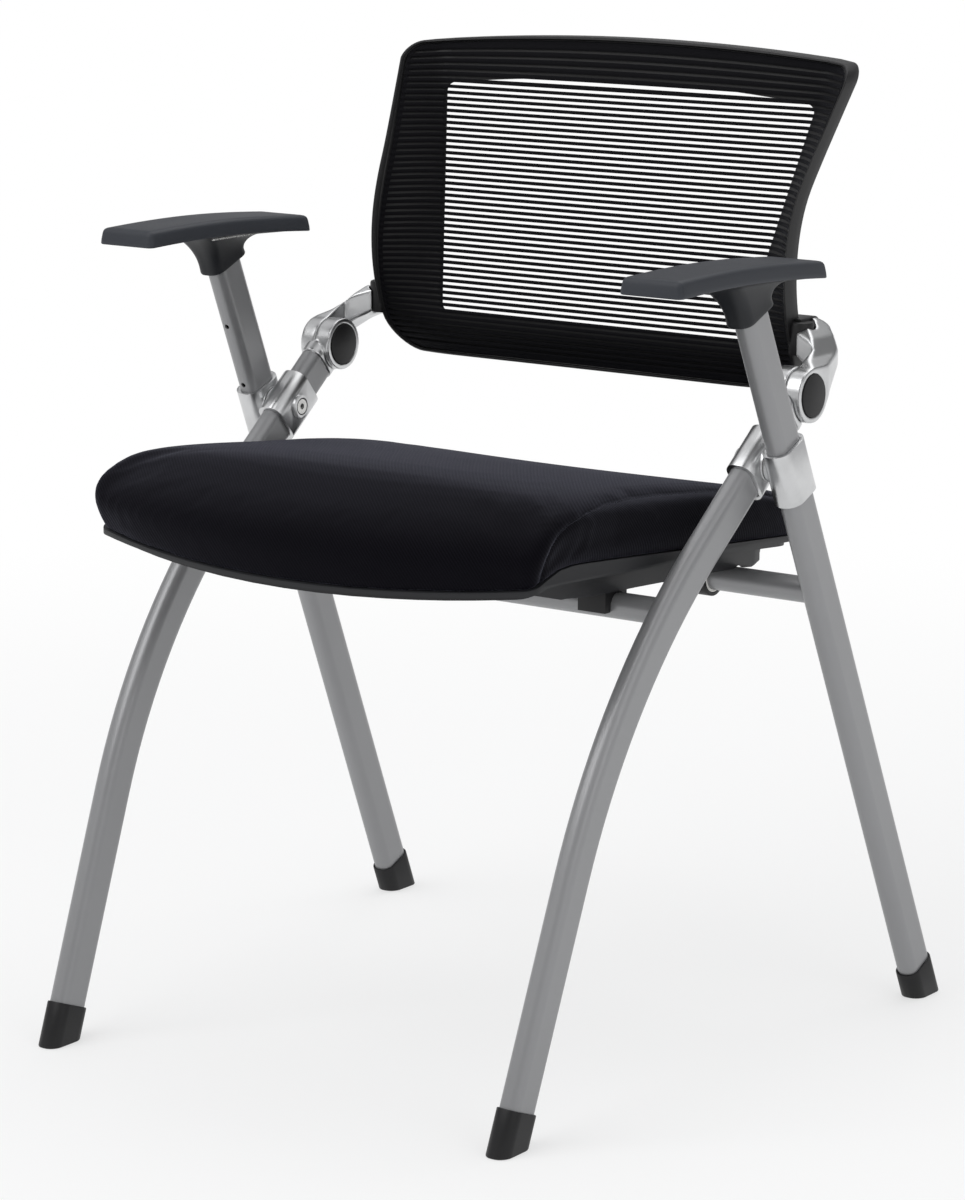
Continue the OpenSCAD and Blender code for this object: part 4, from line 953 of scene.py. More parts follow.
@dataclass
class Armrests:
    """Pads on their necks, one on each rear post."""

    finishes: Wardrobe
    pad_front: float = -0.133
    pad_length: float = 0.219
    pad_width: float = 0.059
    pad_corner: float = 0.006
    least_corner: float = 0.002
    top: float = 0.673
    fall: float = 0.0065
    arch_share: float = 0.35
    thick: float = 0.014
    neck_low: float = 0.630
    post_lean: float = 0.42780
    post_splay: float = 0.026186
    foot_x: float = 0.287796
    foot_y: float = 0.273905
    pad_shift: float = 0.0047
    tube_width: float = 0.019
    tube_depth: float = 0.034
    neck_wall: float = 0.003
    neck_corner: float = 0.0095
    flare_start: float = 0.15
    flare_in: float = 0.020
    flare_out: float = 0.011
    flare_front: float = 0.030
    flare_rear: float = 0.036
    flare_corner: float = 0.006
    # Inset, drop below the top and share of the half width, from the underside to the top.
    pad_levels: tuple[Point, ...] = (
        (0.0040, 0.0139, 0.0), (0.0040, 0.0139, 1.0), (0.0010, 0.0139, 1.0), (0.0003, 0.0136, 1.0),
        (0.0, 0.0129, 1.0), (0.0003, 0.0100, 1.0), (0.0010, 0.0066, 1.0), (0.0015, 0.0045, 1.0),
        (0.0021, 0.0028, 1.0), (0.0032, 0.0014, 1.0), (0.0048, 0.0005, 1.0), (0.0070, 0.0001, 1.0),
        (0.0095, 0.0, 1.0), (0.0110, 0.0, 0.6), (0.0120, 0.0, 0.0),
    )

    def top_at(self, y: float) -> float:
        """Height of the pad's top at a depth.

        Args:
            y: The depth.

        Returns:
            The height.
        """
        share = (y - self.pad_front) / self.pad_length
        arch = self.fall * self.arch_share * math.sin(math.pi * unit(share))
        return self.top - self.fall * max(0.0, share) ** 2 + arch

    def pad_x(self) -> float:
        """Distance of the pad's middle line from the chair's middle."""
        return self.foot_x - self.top * self.post_splay - self.pad_shift

    def pad_ring(self, inset: float, drop: float, pinch: float) -> list[Point]:
        """One level of the pad.

        Args:
            inset: Distance inwards from the outline.
            drop: Depth below the top.
            pinch: Share of the half width that is kept.

        Returns:
            The ring's points.
        """
        x0, half = self.pad_x(), self.pad_width / 2 - inset
        ends = (self.pad_front + inset, self.pad_front + self.pad_length - inset)
        corner = max(self.least_corner, self.pad_corner - inset)
        outline = rounded_box((-half, half), ends, corner, steps=6, along=22)
        return [(x0 + x * pinch, y, self.top_at(y) - drop) for x, y in outline]

    def pad(self) -> bpy.types.Object:
        """Pad of the right side, with drafted sides and softly rounded upper edges."""
        return smooth(loft("arm_pad", [self.pad_ring(*level) for level in self.pad_levels], caps=False), 50)

    def neck_ring(self, rise: float, grow: float) -> list[Point]:
        """One level of the neck, from its lower edge at 0 to the pad at 1.

        Args:
            rise: Share of the height.
            grow: How far the section is grown.

        Returns:
            The ring's points.
        """
        height = self.top - self.thick - self.neck_low
        z = self.neck_low + height * rise
        bend = max(0.0, (rise - self.flare_start) / (1 - self.flare_start))
        flare = 1.0 - math.sqrt(max(0.0, 1.0 - bend * bend))
        axis_x, axis_y = self.foot_x - z * self.post_splay, self.foot_y - z * self.post_lean
        half_d = (self.tube_depth / 2 + self.neck_wall) * math.sqrt(1 + self.post_lean**2) + grow
        half_w = self.tube_width / 2 + self.neck_wall + grow
        behind = self.flare_rear + height * self.post_lean
        xs = (axis_x - half_w - self.flare_in * flare, axis_x + half_w + self.flare_out * flare)
        ys = (axis_y - half_d - self.flare_front * flare, axis_y + half_d + behind * flare)
        ring = rounded_box(xs, ys, self.neck_corner + self.flare_corner * flare, steps=7, along=4)
        points = []
        for x, y in ring:
            low = self.neck_low + (y - axis_y) * self.post_lean
            points.append((x, y, (1 - rise) * low + rise * (self.top_at(y) - self.thick)))
        return points

    def neck(self) -> bpy.types.Object:
        """Neck that flares from the post into the pad.

        Returns:
            The neck of the right side.
        """
        rises = [0.0, 0.015, 0.04] + [0.1 + 0.9 * (i / 16) ** 0.8 for i in range(17)]
        grows = [-0.0012, -0.0003] + [0.0] * (len(rises) - 2)
        return smooth(loft("arm_neck", [self.neck_ring(r, g) for r, g in zip(rises, grows)]), 50)

    def build(self) -> None:
        """Builds both armrests and dresses their plates and screws."""
        pieces = (("arm_pad", self.pad(), self.finishes.arm), ("arm_neck", self.neck(), self.finishes.neck))
        for stem, made, finish in pieces:
            for side in Side:
                piece = made if side is Side.RIGHT else mirrored_copy(made)
                piece.name = side.node(stem) + "_form"
                dress_piece(piece, finish, Body.REAR, [side.node(stem)])
        for node in ("arm_plates", "arm_screws"):
            dress_node(node, self.finishes.steel)


@dataclass
class Seat:
    """Padded seat on its board and pan, with its hinge brackets and rests."""

    finishes: Wardrobe
    half_width: float = 0.221
    front: float = 0.222
    rear: float = 0.190
    bulge: float = 0.040
    taper: float = 0.03
    front_corner: float = 0.012
    rear_corner: float = 0.025
    corner_growth: float = 0.8
    corner_share: float = 0.4
    rim: float = 0.451
    rim_slope: float = 0.093
    lip_run: float = 0.038
    lip_slope: float = 0.37
    tip_drop: float = 0.0142
    tip_slope: float = 0.27
    front_crown: float = 0.008
    middle_crown: float = 0.00225
    crown_slope: float = 0.048
    crown_rise: float = 0.04
    rear_dish: float = 0.0035
    front_fall: float = 0.04
    fall_from: float = 0.130
    rear_fall: float = 0.30
    front_spread: float = 0.0045
    spread_from: float = -0.09
    spread_run: float = 0.10
    spread_rise: float = 0.025
    front_steps: int = 14
    corner_steps: int = 8
    side_steps: int = 18
    rear_steps: int = 10
    voxel: float = 0.0042
    start_inset: float = 0.0018
    pressure: float = 4.0
    frames: int = 20
    stretch: float = 25.0
    bending: float = 3.0
    held_rise: float = 0.003
    reach: float = 0.0030
    widest: float = 0.2274
    rim_gap: float = 0.0004
    seam_width: float = 0.0028
    seam_depth: float = 0.0012
    seam_band: float = 0.035
    seam_far: float = 0.1
    under: float = -0.004
    under_insets: tuple[float, ...] = (0.190, 0.150, 0.100, 0.050, 0.015, 0.002)
    # Inset from the outline and rise above the pan's rim, from the rim to the top.
    side_profile: tuple[Flat, ...] = (
        (0.0, 0.0), (-0.0012, 0.005), (-0.0026, 0.011), (-0.0040, 0.018), (-0.0055, 0.026),
        (-0.0064, 0.033), (-0.0058, 0.0385), (-0.0034, 0.0425), (0.0006, 0.0453), (0.0060, 0.0470),
        (0.0130, 0.0481), (0.0220, 0.0488), (0.0340, 0.0491), (0.0500, 0.0492), (0.0720, 0.0493),
        (0.1000, 0.0493), (0.1350, 0.0493), (0.1750, 0.0493),
    )
    front_profile: tuple[Flat, ...] = (
        (0.0, 0.0), (-0.0016, 0.005), (-0.0034, 0.011), (-0.0050, 0.018), (-0.0062, 0.026),
        (-0.0054, 0.033), (-0.0026, 0.0385), (0.0026, 0.0428), (0.0096, 0.0455), (0.0180, 0.0471),
        (0.0290, 0.0479), (0.0410, 0.0486), (0.0550, 0.0490), (0.0710, 0.0492), (0.0900, 0.0493),
        (0.1140, 0.0493), (0.1440, 0.0493), (0.1800, 0.0493),
    )
    # The upper seam along the sides, as depth and height.
    seam_line: tuple[Flat, ...] = (
        (-0.2124, 0.400), (-0.2119, 0.4499), (-0.2114, 0.4619), (-0.2071, 0.4705), (-0.1974, 0.4789),
        (-0.1828, 0.4844), (-0.1557, 0.4888), (-0.1157, 0.4891), (-0.0713, 0.4866), (-0.0268, 0.4827),
        (0.0285, 0.4768), (0.0645, 0.4722), (0.1100, 0.4648), (0.1500, 0.4530), (0.1900, 0.4395),
        (0.2100, 0.4350),
    )

    def rim_height(self, y: float) -> float:
        """Height of the pan's rim at a depth.

        Args:
            y: The depth.

        Returns:
            The height.
        """
        run = y + self.front
        lip = self.rim + self.lip_slope * (run - self.lip_run)
        tip = self.rim - self.tip_drop + self.tip_slope * run
        flat = self.rim - self.rim_slope * (run - self.lip_run)
        return soft_min(flat, soft_max(lip, tip, 0.001), 0.003)

    def spread(self, x: float, y: float) -> float:
        """How far the pad's sides swell out of the outline towards its front corners."""
        ahead = unit((self.spread_from - y) / self.spread_run)
        return self.front_spread * ahead * ahead * (3 - 2 * ahead) * x / self.half_width

    def plan(self, inset: float) -> list[Point]:
        """The seat's outline from above, drawn in by a distance.

        Args:
            inset: The distance.

        Returns:
            Points as x, y and how much each belongs to the front edge.
        """
        wide = self.half_width - inset
        y0, y1 = inset - self.front, self.rear - inset
        bulge = self.bulge * wide / self.half_width
        grow, most = max(-inset, inset * self.corner_growth), (y1 - y0) * self.corner_share
        nose, tail = Vector((0.0, y0 - 2 * bulge)), Vector((0.0, y1))
        front, rear = Vector((wide, y0)), Vector((wide * (1 - self.taper), y1))
        arc = corner_arc(nose, front, rear, min(self.front_corner + grow, most), self.corner_steps)
        last = corner_arc(front, rear, tail, min(self.rear_corner + grow, most), self.corner_steps)
        end = last[-1]
        xs = [arc[0].x * i / self.front_steps for i in range(self.front_steps)]
        half = [(x, y0 - bulge * (1 - (x / wide) ** 2), 1.0) for x in xs]
        half += [(p.x, p.y, 1.0 - i / self.corner_steps) for i, p in enumerate(arc)]
        half += [(*arc[-1].lerp(last[0], i / self.side_steps), 0.0) for i in range(1, self.side_steps)]
        half += [(p.x, p.y, 0.0) for p in last]
        half += [(end.x * (1 - i / self.rear_steps), end.y, 0.0) for i in range(1, self.rear_steps + 1)]
        return half + [(-x, y, share) for x, y, share in reversed(half[1:-1])]

    def pad_ring(self, side: Flat, front: Flat) -> list[Point]:
        """One level of the cushion's form.

        Args:
            side: Inset and rise above the rim along the sides and the rear.
            front: Inset and rise along the front edge.

        Returns:
            The ring's points.
        """
        ring = []
        for (x0, y0, share), (x1, y1, _) in zip(self.plan(side[0]), self.plan(front[0])):
            x, y = x0 + (x1 - x0) * share, y0 + (y1 - y0) * share
            rise = side[1] + (front[1] - side[1]) * share
            fall = max(0.0, -(y + self.fall_from) / (self.front + self.bulge - self.fall_from))
            tail = max(0.0, y / self.rear)
            up = rise * (1 - self.front_fall * fall * fall - self.rear_fall * tail * tail)
            x += self.spread(x, y) * unit(rise / self.spread_rise)
            u = min(1.0, abs(x) / self.half_width)
            line = self.middle_crown - self.crown_slope * y
            crown = max(-self.rear_dish, min(self.front_crown, line)) * (1 - u * u)
            ring.append((x, y, self.rim_height(y) + up + crown * unit(rise / self.crown_rise)))
        return ring

    def seam_gap(self, x: float, y: float, z: float) -> float:
        """Signed distance of a point from the upper seam: above it is positive.

        Args:
            x: Place across the seat.
            y: Place along the seat.
            z: Height.

        Returns:
            The distance in metres, at most seam_far either way.
        """
        if abs(x) < self.half_width - self.seam_band and y < self.rear - self.seam_band:
            return self.seam_far
        here = Vector((y, z))
        best, sign = self.seam_far, 1.0
        for start, end in zip(self.seam_line, self.seam_line[1:]):
            a, b = Vector(start), Vector(end)
            span = b - a
            share = unit((here - a).dot(span) / span.length_squared)
            apart = here - (a + span * share)
            if apart.length < best:
                best = apart.length
                sign = 1.0 if span.x * apart.y - span.y * apart.x >= 0 else -1.0
        return best * sign

    def start_form(self) -> bpy.types.Object:
        """The cushion's form before it swells, as an even skin.

        Returns:
            The remeshed form, whose sides run on a little below the rim.
        """
        low = [((inset, self.under), (inset, self.under)) for inset in self.under_insets]
        last = (self.under_insets[0], self.side_profile[-1][1])
        levels = [*low, *zip(self.side_profile, self.front_profile), (last, last)]
        rings = [self.pad_ring(*level) for level in levels]
        middle = (0.0, (self.rear - self.front) / 2)
        foot, crest = (
            [(*middle, sum(p[2] for p in ring) / len(ring))] * len(ring) for ring in (rings[0], rings[-1])
        )
        # The last ring comes after the top's middle, so it doubles the skin there until the remesh.
        rings = [foot, *rings[:-1], crest, rings[-1]]
        obj = loft("seat_pad", rings, caps=False)
        edit_all(obj)
        bpy.ops.transform.shrink_fatten(value=-self.start_inset)
        bpy.ops.object.mode_set(mode="OBJECT")
        modify(obj, "REMESH", mode="VOXEL", voxel_size=self.voxel, use_smooth_shade=True)
        modify(obj, "SMOOTH", factor=0.5, iterations=2)
        return obj

    def swell(self, obj: bpy.types.Object) -> None:
        """Swells the pad by cloth pressure, with its underside held on the board.

        Args:
            obj: The even skin.
        """
        held = obj.vertex_groups.new(name="held")
        starts = [v.co.copy() for v in obj.data.vertices]
        low = [v.index for v in obj.data.vertices if v.co.z < self.rim_height(v.co.y) + self.held_rise]
        held.add(low, 1.0, "REPLACE")
        pick(obj)
        cloth = obj.modifiers.new("cloth", "CLOTH")
        settings = cloth.settings
        settings.use_pressure = True
        settings.uniform_pressure_force = self.pressure
        settings.effector_weights.gravity = 0.0
        settings.vertex_group_mass = held.name
        settings.tension_stiffness = settings.compression_stiffness = self.stretch
        settings.bending_stiffness = self.bending
        settings.quality = 4
        cloth.point_cache.frame_start, cloth.point_cache.frame_end = 1, self.frames
        for step in range(1, self.frames + 1):
            bpy.context.scene.frame_set(step)
        bpy.ops.object.modifier_apply(modifier=cloth.name)
        bpy.context.scene.frame_set(1)
        for vert, start in zip(obj.data.vertices, starts):
            moved = vert.co - start
            vert.co = start + moved * (self.reach / (self.reach + moved.length))
        obj.vertex_groups.clear()
        modify(obj, "SMOOTH", factor=0.5, iterations=3)

    def trim(self, obj: bpy.types.Object) -> None:
        """Lays the pad's lower edge on the rim and keeps its sides clear of the legs.

        Args:
            obj: The swollen pad.
        """
        for vert in obj.data.vertices:
            vert.co.z = max(vert.co.z, self.rim_height(vert.co.y) + self.rim_gap)
            limit = self.widest + self.spread(self.half_width, vert.co.y)
            vert.co.x = max(-limit, min(limit, vert.co.x))

    def sew(self, obj: bpy.types.Object) -> None:
        """Draws the seam into the pad and keeps each point's distance from it for the cloth.

        Args:
            obj: The swollen pad.
        """
        mesh = obj.data
        normals = [v.normal.copy() for v in mesh.vertices]
        gaps = [self.seam_gap(*v.co) for v in mesh.vertices]
        for vert, normal, gap in zip(mesh.vertices, normals, gaps):
            pull = math.exp(-((gap / self.seam_width) ** 2))
            vert.co -= normal * self.seam_depth * pull
        layer = mesh.attributes.new("seam", "FLOAT", "POINT")
        layer.data.foreach_set("value", gaps)

    def cushion(self) -> bpy.types.Object:
        """Returns:
            The pad.
        """
        obj = self.start_form()
        self.swell(obj)
        modify(obj, "SUBSURF", levels=1, render_levels=1)
        self.sew(obj)
        self.trim(obj)
        pick(obj)
        bpy.ops.object.shade_smooth()
        return obj

    def build(self) -> None:
        """Builds the pad, rounds the pan, rests and brackets, and dresses what is under them."""
        wear = self.finishes
        pad = dress_piece(self.cushion(), wear.cloth, Body.SEAT, ["seat_cushion"])
        rounded = (
            ("seat_pan", 0.0010, wear.pan),
            ("seat_rests", 0.0015, wear.plastic),
            ("seat_hinge_brackets", 0.001, wear.plastic),
        )
        for node, width, finish in rounded:
            dress_rounded(node, width, finish, Body.SEAT)
        dress_node("seat_board", wear.wood)
        dress_node("seat_hinge_bushes", wear.nylon)
        for node in ("seat_screws", "seat_nuts", "bracket_screws"):
            dress_node(node, wear.steel)


@dataclass
class BackSurface:
    """The curved surface in which the back's net lies."""

    low: float = 0.539
    high: float = 0.812
    half_width: float = 0.216
    arch: float = 0.010
    waist: Flat = (0.146, 0.640)
    waist_radius: float = 0.150
    lean: float = math.radians(29)
    flare_z: float = 0.705
    flare_slope: float = 0.172
    window_low: float = 0.579
    window_high: float = 0.776
    window_half: float = 0.1565
    window_slope: float = 0.188
    low_corner: float = 0.034
    top_corner: float = 0.015
    window_corner: float = 0.008
    wrap_power: float = 1.4
    plane_low: float = 0.1663
    plane_slope: float = 0.3
    foot_low: float = 0.164
    foot_slope: float = 0.35
    foot_z: float = 0.570
    level_steps: int = 14
    corner_steps: int = 10
    side_steps: int = 36

    def edge_y(self, z: float) -> float:
        """Depth of the side edges at a height.

        Args:
            z: The height.

        Returns:
            The depth: round the waist, then straight up at the lean.
        """
        waist_y, waist_z = self.waist
        rise, limit = z - waist_z, self.waist_radius * math.sin(self.lean)
        if rise < limit:
            return waist_y + self.waist_radius - math.sqrt(self.waist_radius**2 - rise * rise)
        round_end = waist_y + self.waist_radius * (1 - math.cos(self.lean))
        return round_end + (rise - limit) * math.tan(self.lean)

    def plane_y(self, z: float) -> float:
        """Depth of the flat middle at a height."""
        foot = self.foot_low - self.foot_slope * (z - self.foot_z)
        return soft_max(self.plane_low + self.plane_slope * (z - self.window_low), foot, 0.003)

    def outer(self, z: float) -> float:
        """Half width of the back at a height."""
        flare = self.half_width + self.flare_slope * (z - self.flare_z)
        return soft_max(self.half_width, flare, 0.002)

    def window(self, z: float) -> float:
        """Half width of the window at a height."""
        return self.window_half + self.window_slope * (z - self.window_low)

    def depth(self, x: float, z: float) -> float:
        """Depth of the net at a place.

        Args:
            x: Place across the back.
            z: Height.

        Returns:
            The depth: flat in the window and curved forward to the side edges.
        """
        inner, outer = self.window(z), self.outer(z)
        share = unit((abs(x) - inner) / (outer - inner))
        flat = self.plane_y(z)
        return flat - (flat - self.edge_y(z)) * share**self.wrap_power

    def half_outline(self, window: bool) -> list[Flat]:
        """Right half of the frame's outer edge or of its window, from the bottom up.

        Args:
            window: Whether the window is meant.

        Returns:
            Points as x and z.
        """
        low, high = (self.window_low, self.window_high) if window else (self.low, self.high)
        r0 = self.window_corner if window else self.low_corner
        r1 = self.window_corner if window else self.top_corner
        half = self.window if window else self.outer
        w0, w1 = half(low + r0), half(high - r1)
        shares = [i / self.level_steps for i in range(self.level_steps)]
        quarter = [math.radians(90 * i / self.corner_steps) for i in range(self.corner_steps + 1)]
        rise = high - r1 - low - r0
        heights = [low + r0 + rise * i / self.side_steps for i in range(1, self.side_steps)]
        points = [((w0 - r0) * f, low) for f in shares]
        points += [(w0 - r0 + r0 * math.sin(a), low + r0 - r0 * math.cos(a)) for a in quarter]
        points += [(half(z), z) for z in heights]
        points += [(w1 - r1 + r1 * math.cos(a), high - r1 + r1 * math.sin(a)) for a in quarter]
        points += [((w1 - r1) * f, high + self.arch * (1 - f * f)) for f in reversed(shares)]
        return points

    def outline(self, window: bool) -> list[Flat]:
        """Whole closed outline of the frame or of its window."""
        half = self.half_outline(window)
        return half + [(-x, z) for x, z in reversed(half[1:-1])]


@dataclass
class Backrest:
    """Moulded frame, stretched net and cast arms of the back."""

    finishes: Wardrobe
    surface: BackSurface = field(default_factory=BackSurface)
    lip: float = 0.004
    behind: float = 0.0025
    flange: float = 0.0034
    wall: float = 0.019
    rows: int = 37
    row_edge: float = 0.002
    open_share: float = 0.42
    net_thickness: float = 0.0009
    net_gap: float = 0.0003
    columns: int = 60
    selvedge: Flat = (0.988, 0.972)
    net_flat: Flat = (0.445, 0.285)
    boss_x: float = 0.2195
    boss_y: float = 0.1665
    boss_r: float = 0.0115
    boss_low: float = 0.5735
    boss_high: float = 0.6015
    boss_flat: float = 0.2140
    boss_room: float = 0.0007
    boss_facets: int = 40
    lug_inner: float = 0.204
    lug_outer: float = 0.222
    lug_low: float = 0.572
    lug_high: float = 0.604
    lug_rear: float = 0.194
    lug_bend: float = 0.008
    arm_rounds: int = 26
    cap_round: float = 0.0005
    # The bead on the frame's outer edge, as steps inwards and depths behind the net's surface.
    bead: tuple[Flat, ...] = (
        (0.0, 0.0), (0.0001, -0.0008), (0.0006, -0.0015), (0.0013, -0.00195), (0.0020, -0.0019),
        (0.0025, -0.0014), (0.0027, -0.0007), (0.0030, -0.0002), (0.0033, -0.0007), (0.0036, -0.0010),
        (0.0039, -0.0007), (0.0040, 0.0001),
    )
    # One rib of the net, as shares of its height and bulges towards the sitter.
    rib: tuple[Flat, ...] = ((0.0, -0.0001), (0.16, 0.0002), (0.5, 0.00045), (0.84, 0.0002), (1.0, -0.0001))

    def boss(self, side: Side, grow: float = 0.0) -> bpy.types.Object:
        """Upright round boss on the lug, round which the cast arm curves.

        Args:
            side: The boss's side.
            grow: How far the boss is grown, to cut its room out of the arm.

        Returns:
            The boss, flat towards the middle of the chair.
        """
        low, high, r = self.boss_low - 10 * grow, self.boss_high + 10 * grow, self.boss_r + grow
        levels = [
            (r - 0.0015, low), (r - 0.0004, low + 0.0004), (r, low + 0.0015),
            (r, high - 0.0020), (r - 0.0006, high - 0.0006), (r - 0.0020, high),
        ]
        turns = [2 * math.pi * i / self.boss_facets for i in range(self.boss_facets)]
        rings = []
        for w, z in levels:
            xs = [max(self.boss_flat, self.boss_x + w * math.cos(t)) for t in turns]
            rings.append([(side.value * x, self.boss_y + w * math.sin(t), z) for x, t in zip(xs, turns)])
        return loft("boss", rings)

    def frame_section(self, outer: Flat, inner: Flat) -> list[Point]:
        """Section of the moulded frame at one station.

        Args:
            outer: Point on the outer edge.
            inner: Point on the window's edge.

        Returns:
            The section's points: bead, groove, lip, flange and rear wall.
        """
        s = self.surface
        span = Vector(inner) - Vector(outer)
        along = span.normalized()
        edge_y = s.depth(*outer)

        def at(step: float, deep: float, level: float | None = None) -> Point:
            """Point a step inwards, at a depth behind the net's surface or behind a level."""
            p = Vector(outer) + along * step
            return p.x, (s.depth(p.x, p.y) if level is None else level) + deep, p.y

        back, wall = self.behind + self.flange, self.wall
        flange = [(f, self.behind) for f in (0.0, 0.2, 0.4, 0.6, 0.8, 0.93)]
        flange += [(0.985, self.behind + 0.0004), (1.0, self.behind + 0.0014), (0.985, back - 0.0004)]
        flange += [(f, back) for f in (0.93, 0.8, 0.6, 0.4, 0.2, 0.03)]
        rim = [
            (0.0040, back + 0.0020), (0.0040, wall - 0.0012), (0.0036, wall - 0.0002), (0.0028, wall),
            (0.0012, wall), (0.0004, wall - 0.0004), (0.0, wall - 0.0013), (0.0, wall * 0.5),
        ]
        reach = span.length - self.lip
        points = [at(*p) for p in self.bead]
        points += [at(self.lip + reach * share, deep) for share, deep in flange]
        return points + [at(*p, edge_y) for p in rim]

    def lug(self, side: Side) -> bpy.types.Object:
        """Solid block behind the frame that the cast arm is screwed to.

        Args:
            side: The lug's side.

        Returns:
            The lug.
        """
        low, high, rear, bend = self.lug_low, self.lug_high, self.lug_rear, self.lug_bend
        fronts = [self.surface.depth(self.lug_inner, z) + self.behind + self.flange / 2 for z in (low, high)]
        corners = [(fronts[0], low, 0.0), (rear, low, bend), (rear, high, bend), (fronts[1], high, 0.0)]
        outline = rounded_outline(corners)
        levels = (
            (self.lug_inner, 0.0006), (self.lug_inner + 0.0006, 0.0), (self.lug_outer - 0.001, 0.0),
            (self.lug_outer, 0.0008),
        )
        mid = Vector((sum(p[0] for p in outline), sum(p[1] for p in outline))) / len(outline)
        rings = []
        for x, small in levels:
            aways = [(Vector(p) - mid).normalized() * small for p in outline]
            rings.append([(x * side.value, p[0] - a.x, p[1] - a.y) for p, a in zip(outline, aways)])
        return loft("lug", rings)

    def moulding(self) -> bpy.types.Object:
        """The frame with its bead, groove, flange, lugs and bosses.

        Returns:
            The moulded frame.
        """
        s = self.surface
        sections = [self.frame_section(o, w) for o, w in zip(s.outline(False), s.outline(True))]
        ring = loft("back_moulding", sections, closed=True)
        extras = [make(side) for side in Side for make in (self.lug, self.boss)]
        return smooth(join("back_moulding", [ring, *extras]), 42)

    def net_rows(self) -> list[tuple[float, float, bool]]:
        """Rows of the net's points, from the bottom up.

        Returns:
            Each row's height, bulge towards the sitter and whether the strip above it is open.
        """
        s = self.surface
        pitch = (s.window_high - s.window_low - 2 * self.row_edge) / self.rows
        first = s.window_low + self.row_edge
        margin = self.lip + self.net_gap
        low, high = s.low + margin, s.high - margin
        band = pitch * (1 - self.open_share)
        rows: list[tuple[float, float, bool]] = []
        k = math.ceil((low - first) / pitch)
        while first + pitch * (k + 1) < high:
            z = first + pitch * (k + self.open_share)
            rows += [(z + band * share, bulge, share == 1.0) for share, bulge in self.rib]
            k += 1
        rows[-1] = (rows[-1][0], rows[-1][1], False)
        return [(low, 0.0, False)] + rows + [(high, 0.0, False)]

    def net(self) -> tuple[bpy.types.Object, float]:
        """The stretched net, with a selvedge all round.

        Returns:
            The net and the flat area of its yarn in square metres.
        """
        s = self.surface
        rows = self.net_rows()
        edge, hem = self.selvedge
        inside = [hem * (2 * i / self.columns - 1) for i in range(self.columns + 1)]
        shares = [-1.0, -edge, *inside, edge, 1.0]
        clear_selection()
        bpy.ops.mesh.primitive_grid_add(
            x_subdivisions=len(shares) - 1, y_subdivisions=len(rows) - 1, size=2.0, enter_editmode=True
        )
        obj = bpy.context.object
        obj.name = obj.data.name = "back_net"
        mesh = bmesh.from_edit_mesh(obj.data)
        ordered = sorted(mesh.verts, key=lambda v: (round(v.co.y, 5), round(v.co.x, 5)))
        margin = self.lip + self.net_gap
        places: dict[bmesh.types.BMVert, tuple[int, int]] = {}
        for i, vert in enumerate(ordered):
            r, c = divmod(i, len(shares))
            z, bulge, _ = rows[r]
            half = self.net_half(z, margin)
            x = shares[c] * half
            above = max(0.0, (z - s.window_high) / (s.high - margin - s.window_high))
            lift = s.arch * (1 - (x / s.outer(z)) ** 2) * above
            vert.co = (x, s.depth(x, z + lift) - bulge, z + lift)
            places[vert] = (r, c)
        gone = []
        for face in mesh.faces:
            r = min(places[v][0] for v in face.verts)
            c = min(places[v][1] for v in face.verts)
            if rows[r][2] and 0 < c < len(shares) - 2:
                gone.append(face)
        for face in mesh.faces:
            face.select_set(False)
        for face in gone:
            face.select_set(True)
        bmesh.update_edit_mesh(obj.data)
        bpy.ops.mesh.delete(type="FACE")
        bpy.ops.mesh.select_all(action="SELECT")
        bpy.ops.mesh.delete_loose()
        bpy.ops.object.mode_set(mode="OBJECT")
        area = sum(p.area for p in obj.data.polygons)
        if obj.data.polygons[0].normal.y > 0:
            edit_all(obj)
            bpy.ops.mesh.flip_normals()
            bpy.ops.object.mode_set(mode="OBJECT")
        modify(obj, "SOLIDIFY", thickness=self.net_thickness, offset=-1.0)
        return smooth(obj, 60), area

    def net_half(self, z: float, margin: float) -> float:
        """Half width of the net at a height, drawn in round the frame's corners.

        Args:
            z: The height.
            margin: Distance of the net's edge from the frame's outline.

        Returns:
            The half width.
        """
        s = self.surface
        low, high = s.low + s.low_corner, s.high - s.top_corner
        radius = s.low_corner if z < low else s.top_corner
        past = low - z if z < low else z - high
        wide = s.outer(max(low, min(high, z)))
        if past <= 0:
            return wide - margin
        return wide - radius + math.sqrt(max(0.0, (radius - margin) ** 2 - past * past))

    def build(self) -> None:
        """Builds the moulding and the net, flows the cast arms and rounds the hub caps."""
        wear = self.finishes
        dress_piece(self.moulding(), wear.plastic, Body.BACK, ["back_frame"])
        net, area = self.net()
        dress_piece(net, wear.net, Body.BACK, ["back_mesh"])
        for side in Side:
            node = side.node("back_arm")
            arm = cast_form(node, rounds=self.arm_rounds, hollow=self.boss(side, self.boss_room))
            dress_piece(arm, wear.casting, Body.BACK, [node])
        dress_rounded("outer_hub_caps", self.cap_round, wear.plastic, Body.BACK)
        dress_node("back_screws", wear.steel)


# Studio


def towards(azimuth: float, elevation: float) -> Vector:
    """Direction from the chair to a camera or lamp.

    Args:
        azimuth: Degrees round from the front, towards the chair's right.
        elevation: Degrees above the horizon.

    Returns:
        The direction, of length 1.
    """
    a, e = math.radians(azimuth), math.radians(elevation)
    return Vector((math.sin(a) * math.cos(e), -math.cos(a) * math.cos(e), math.sin(e)))


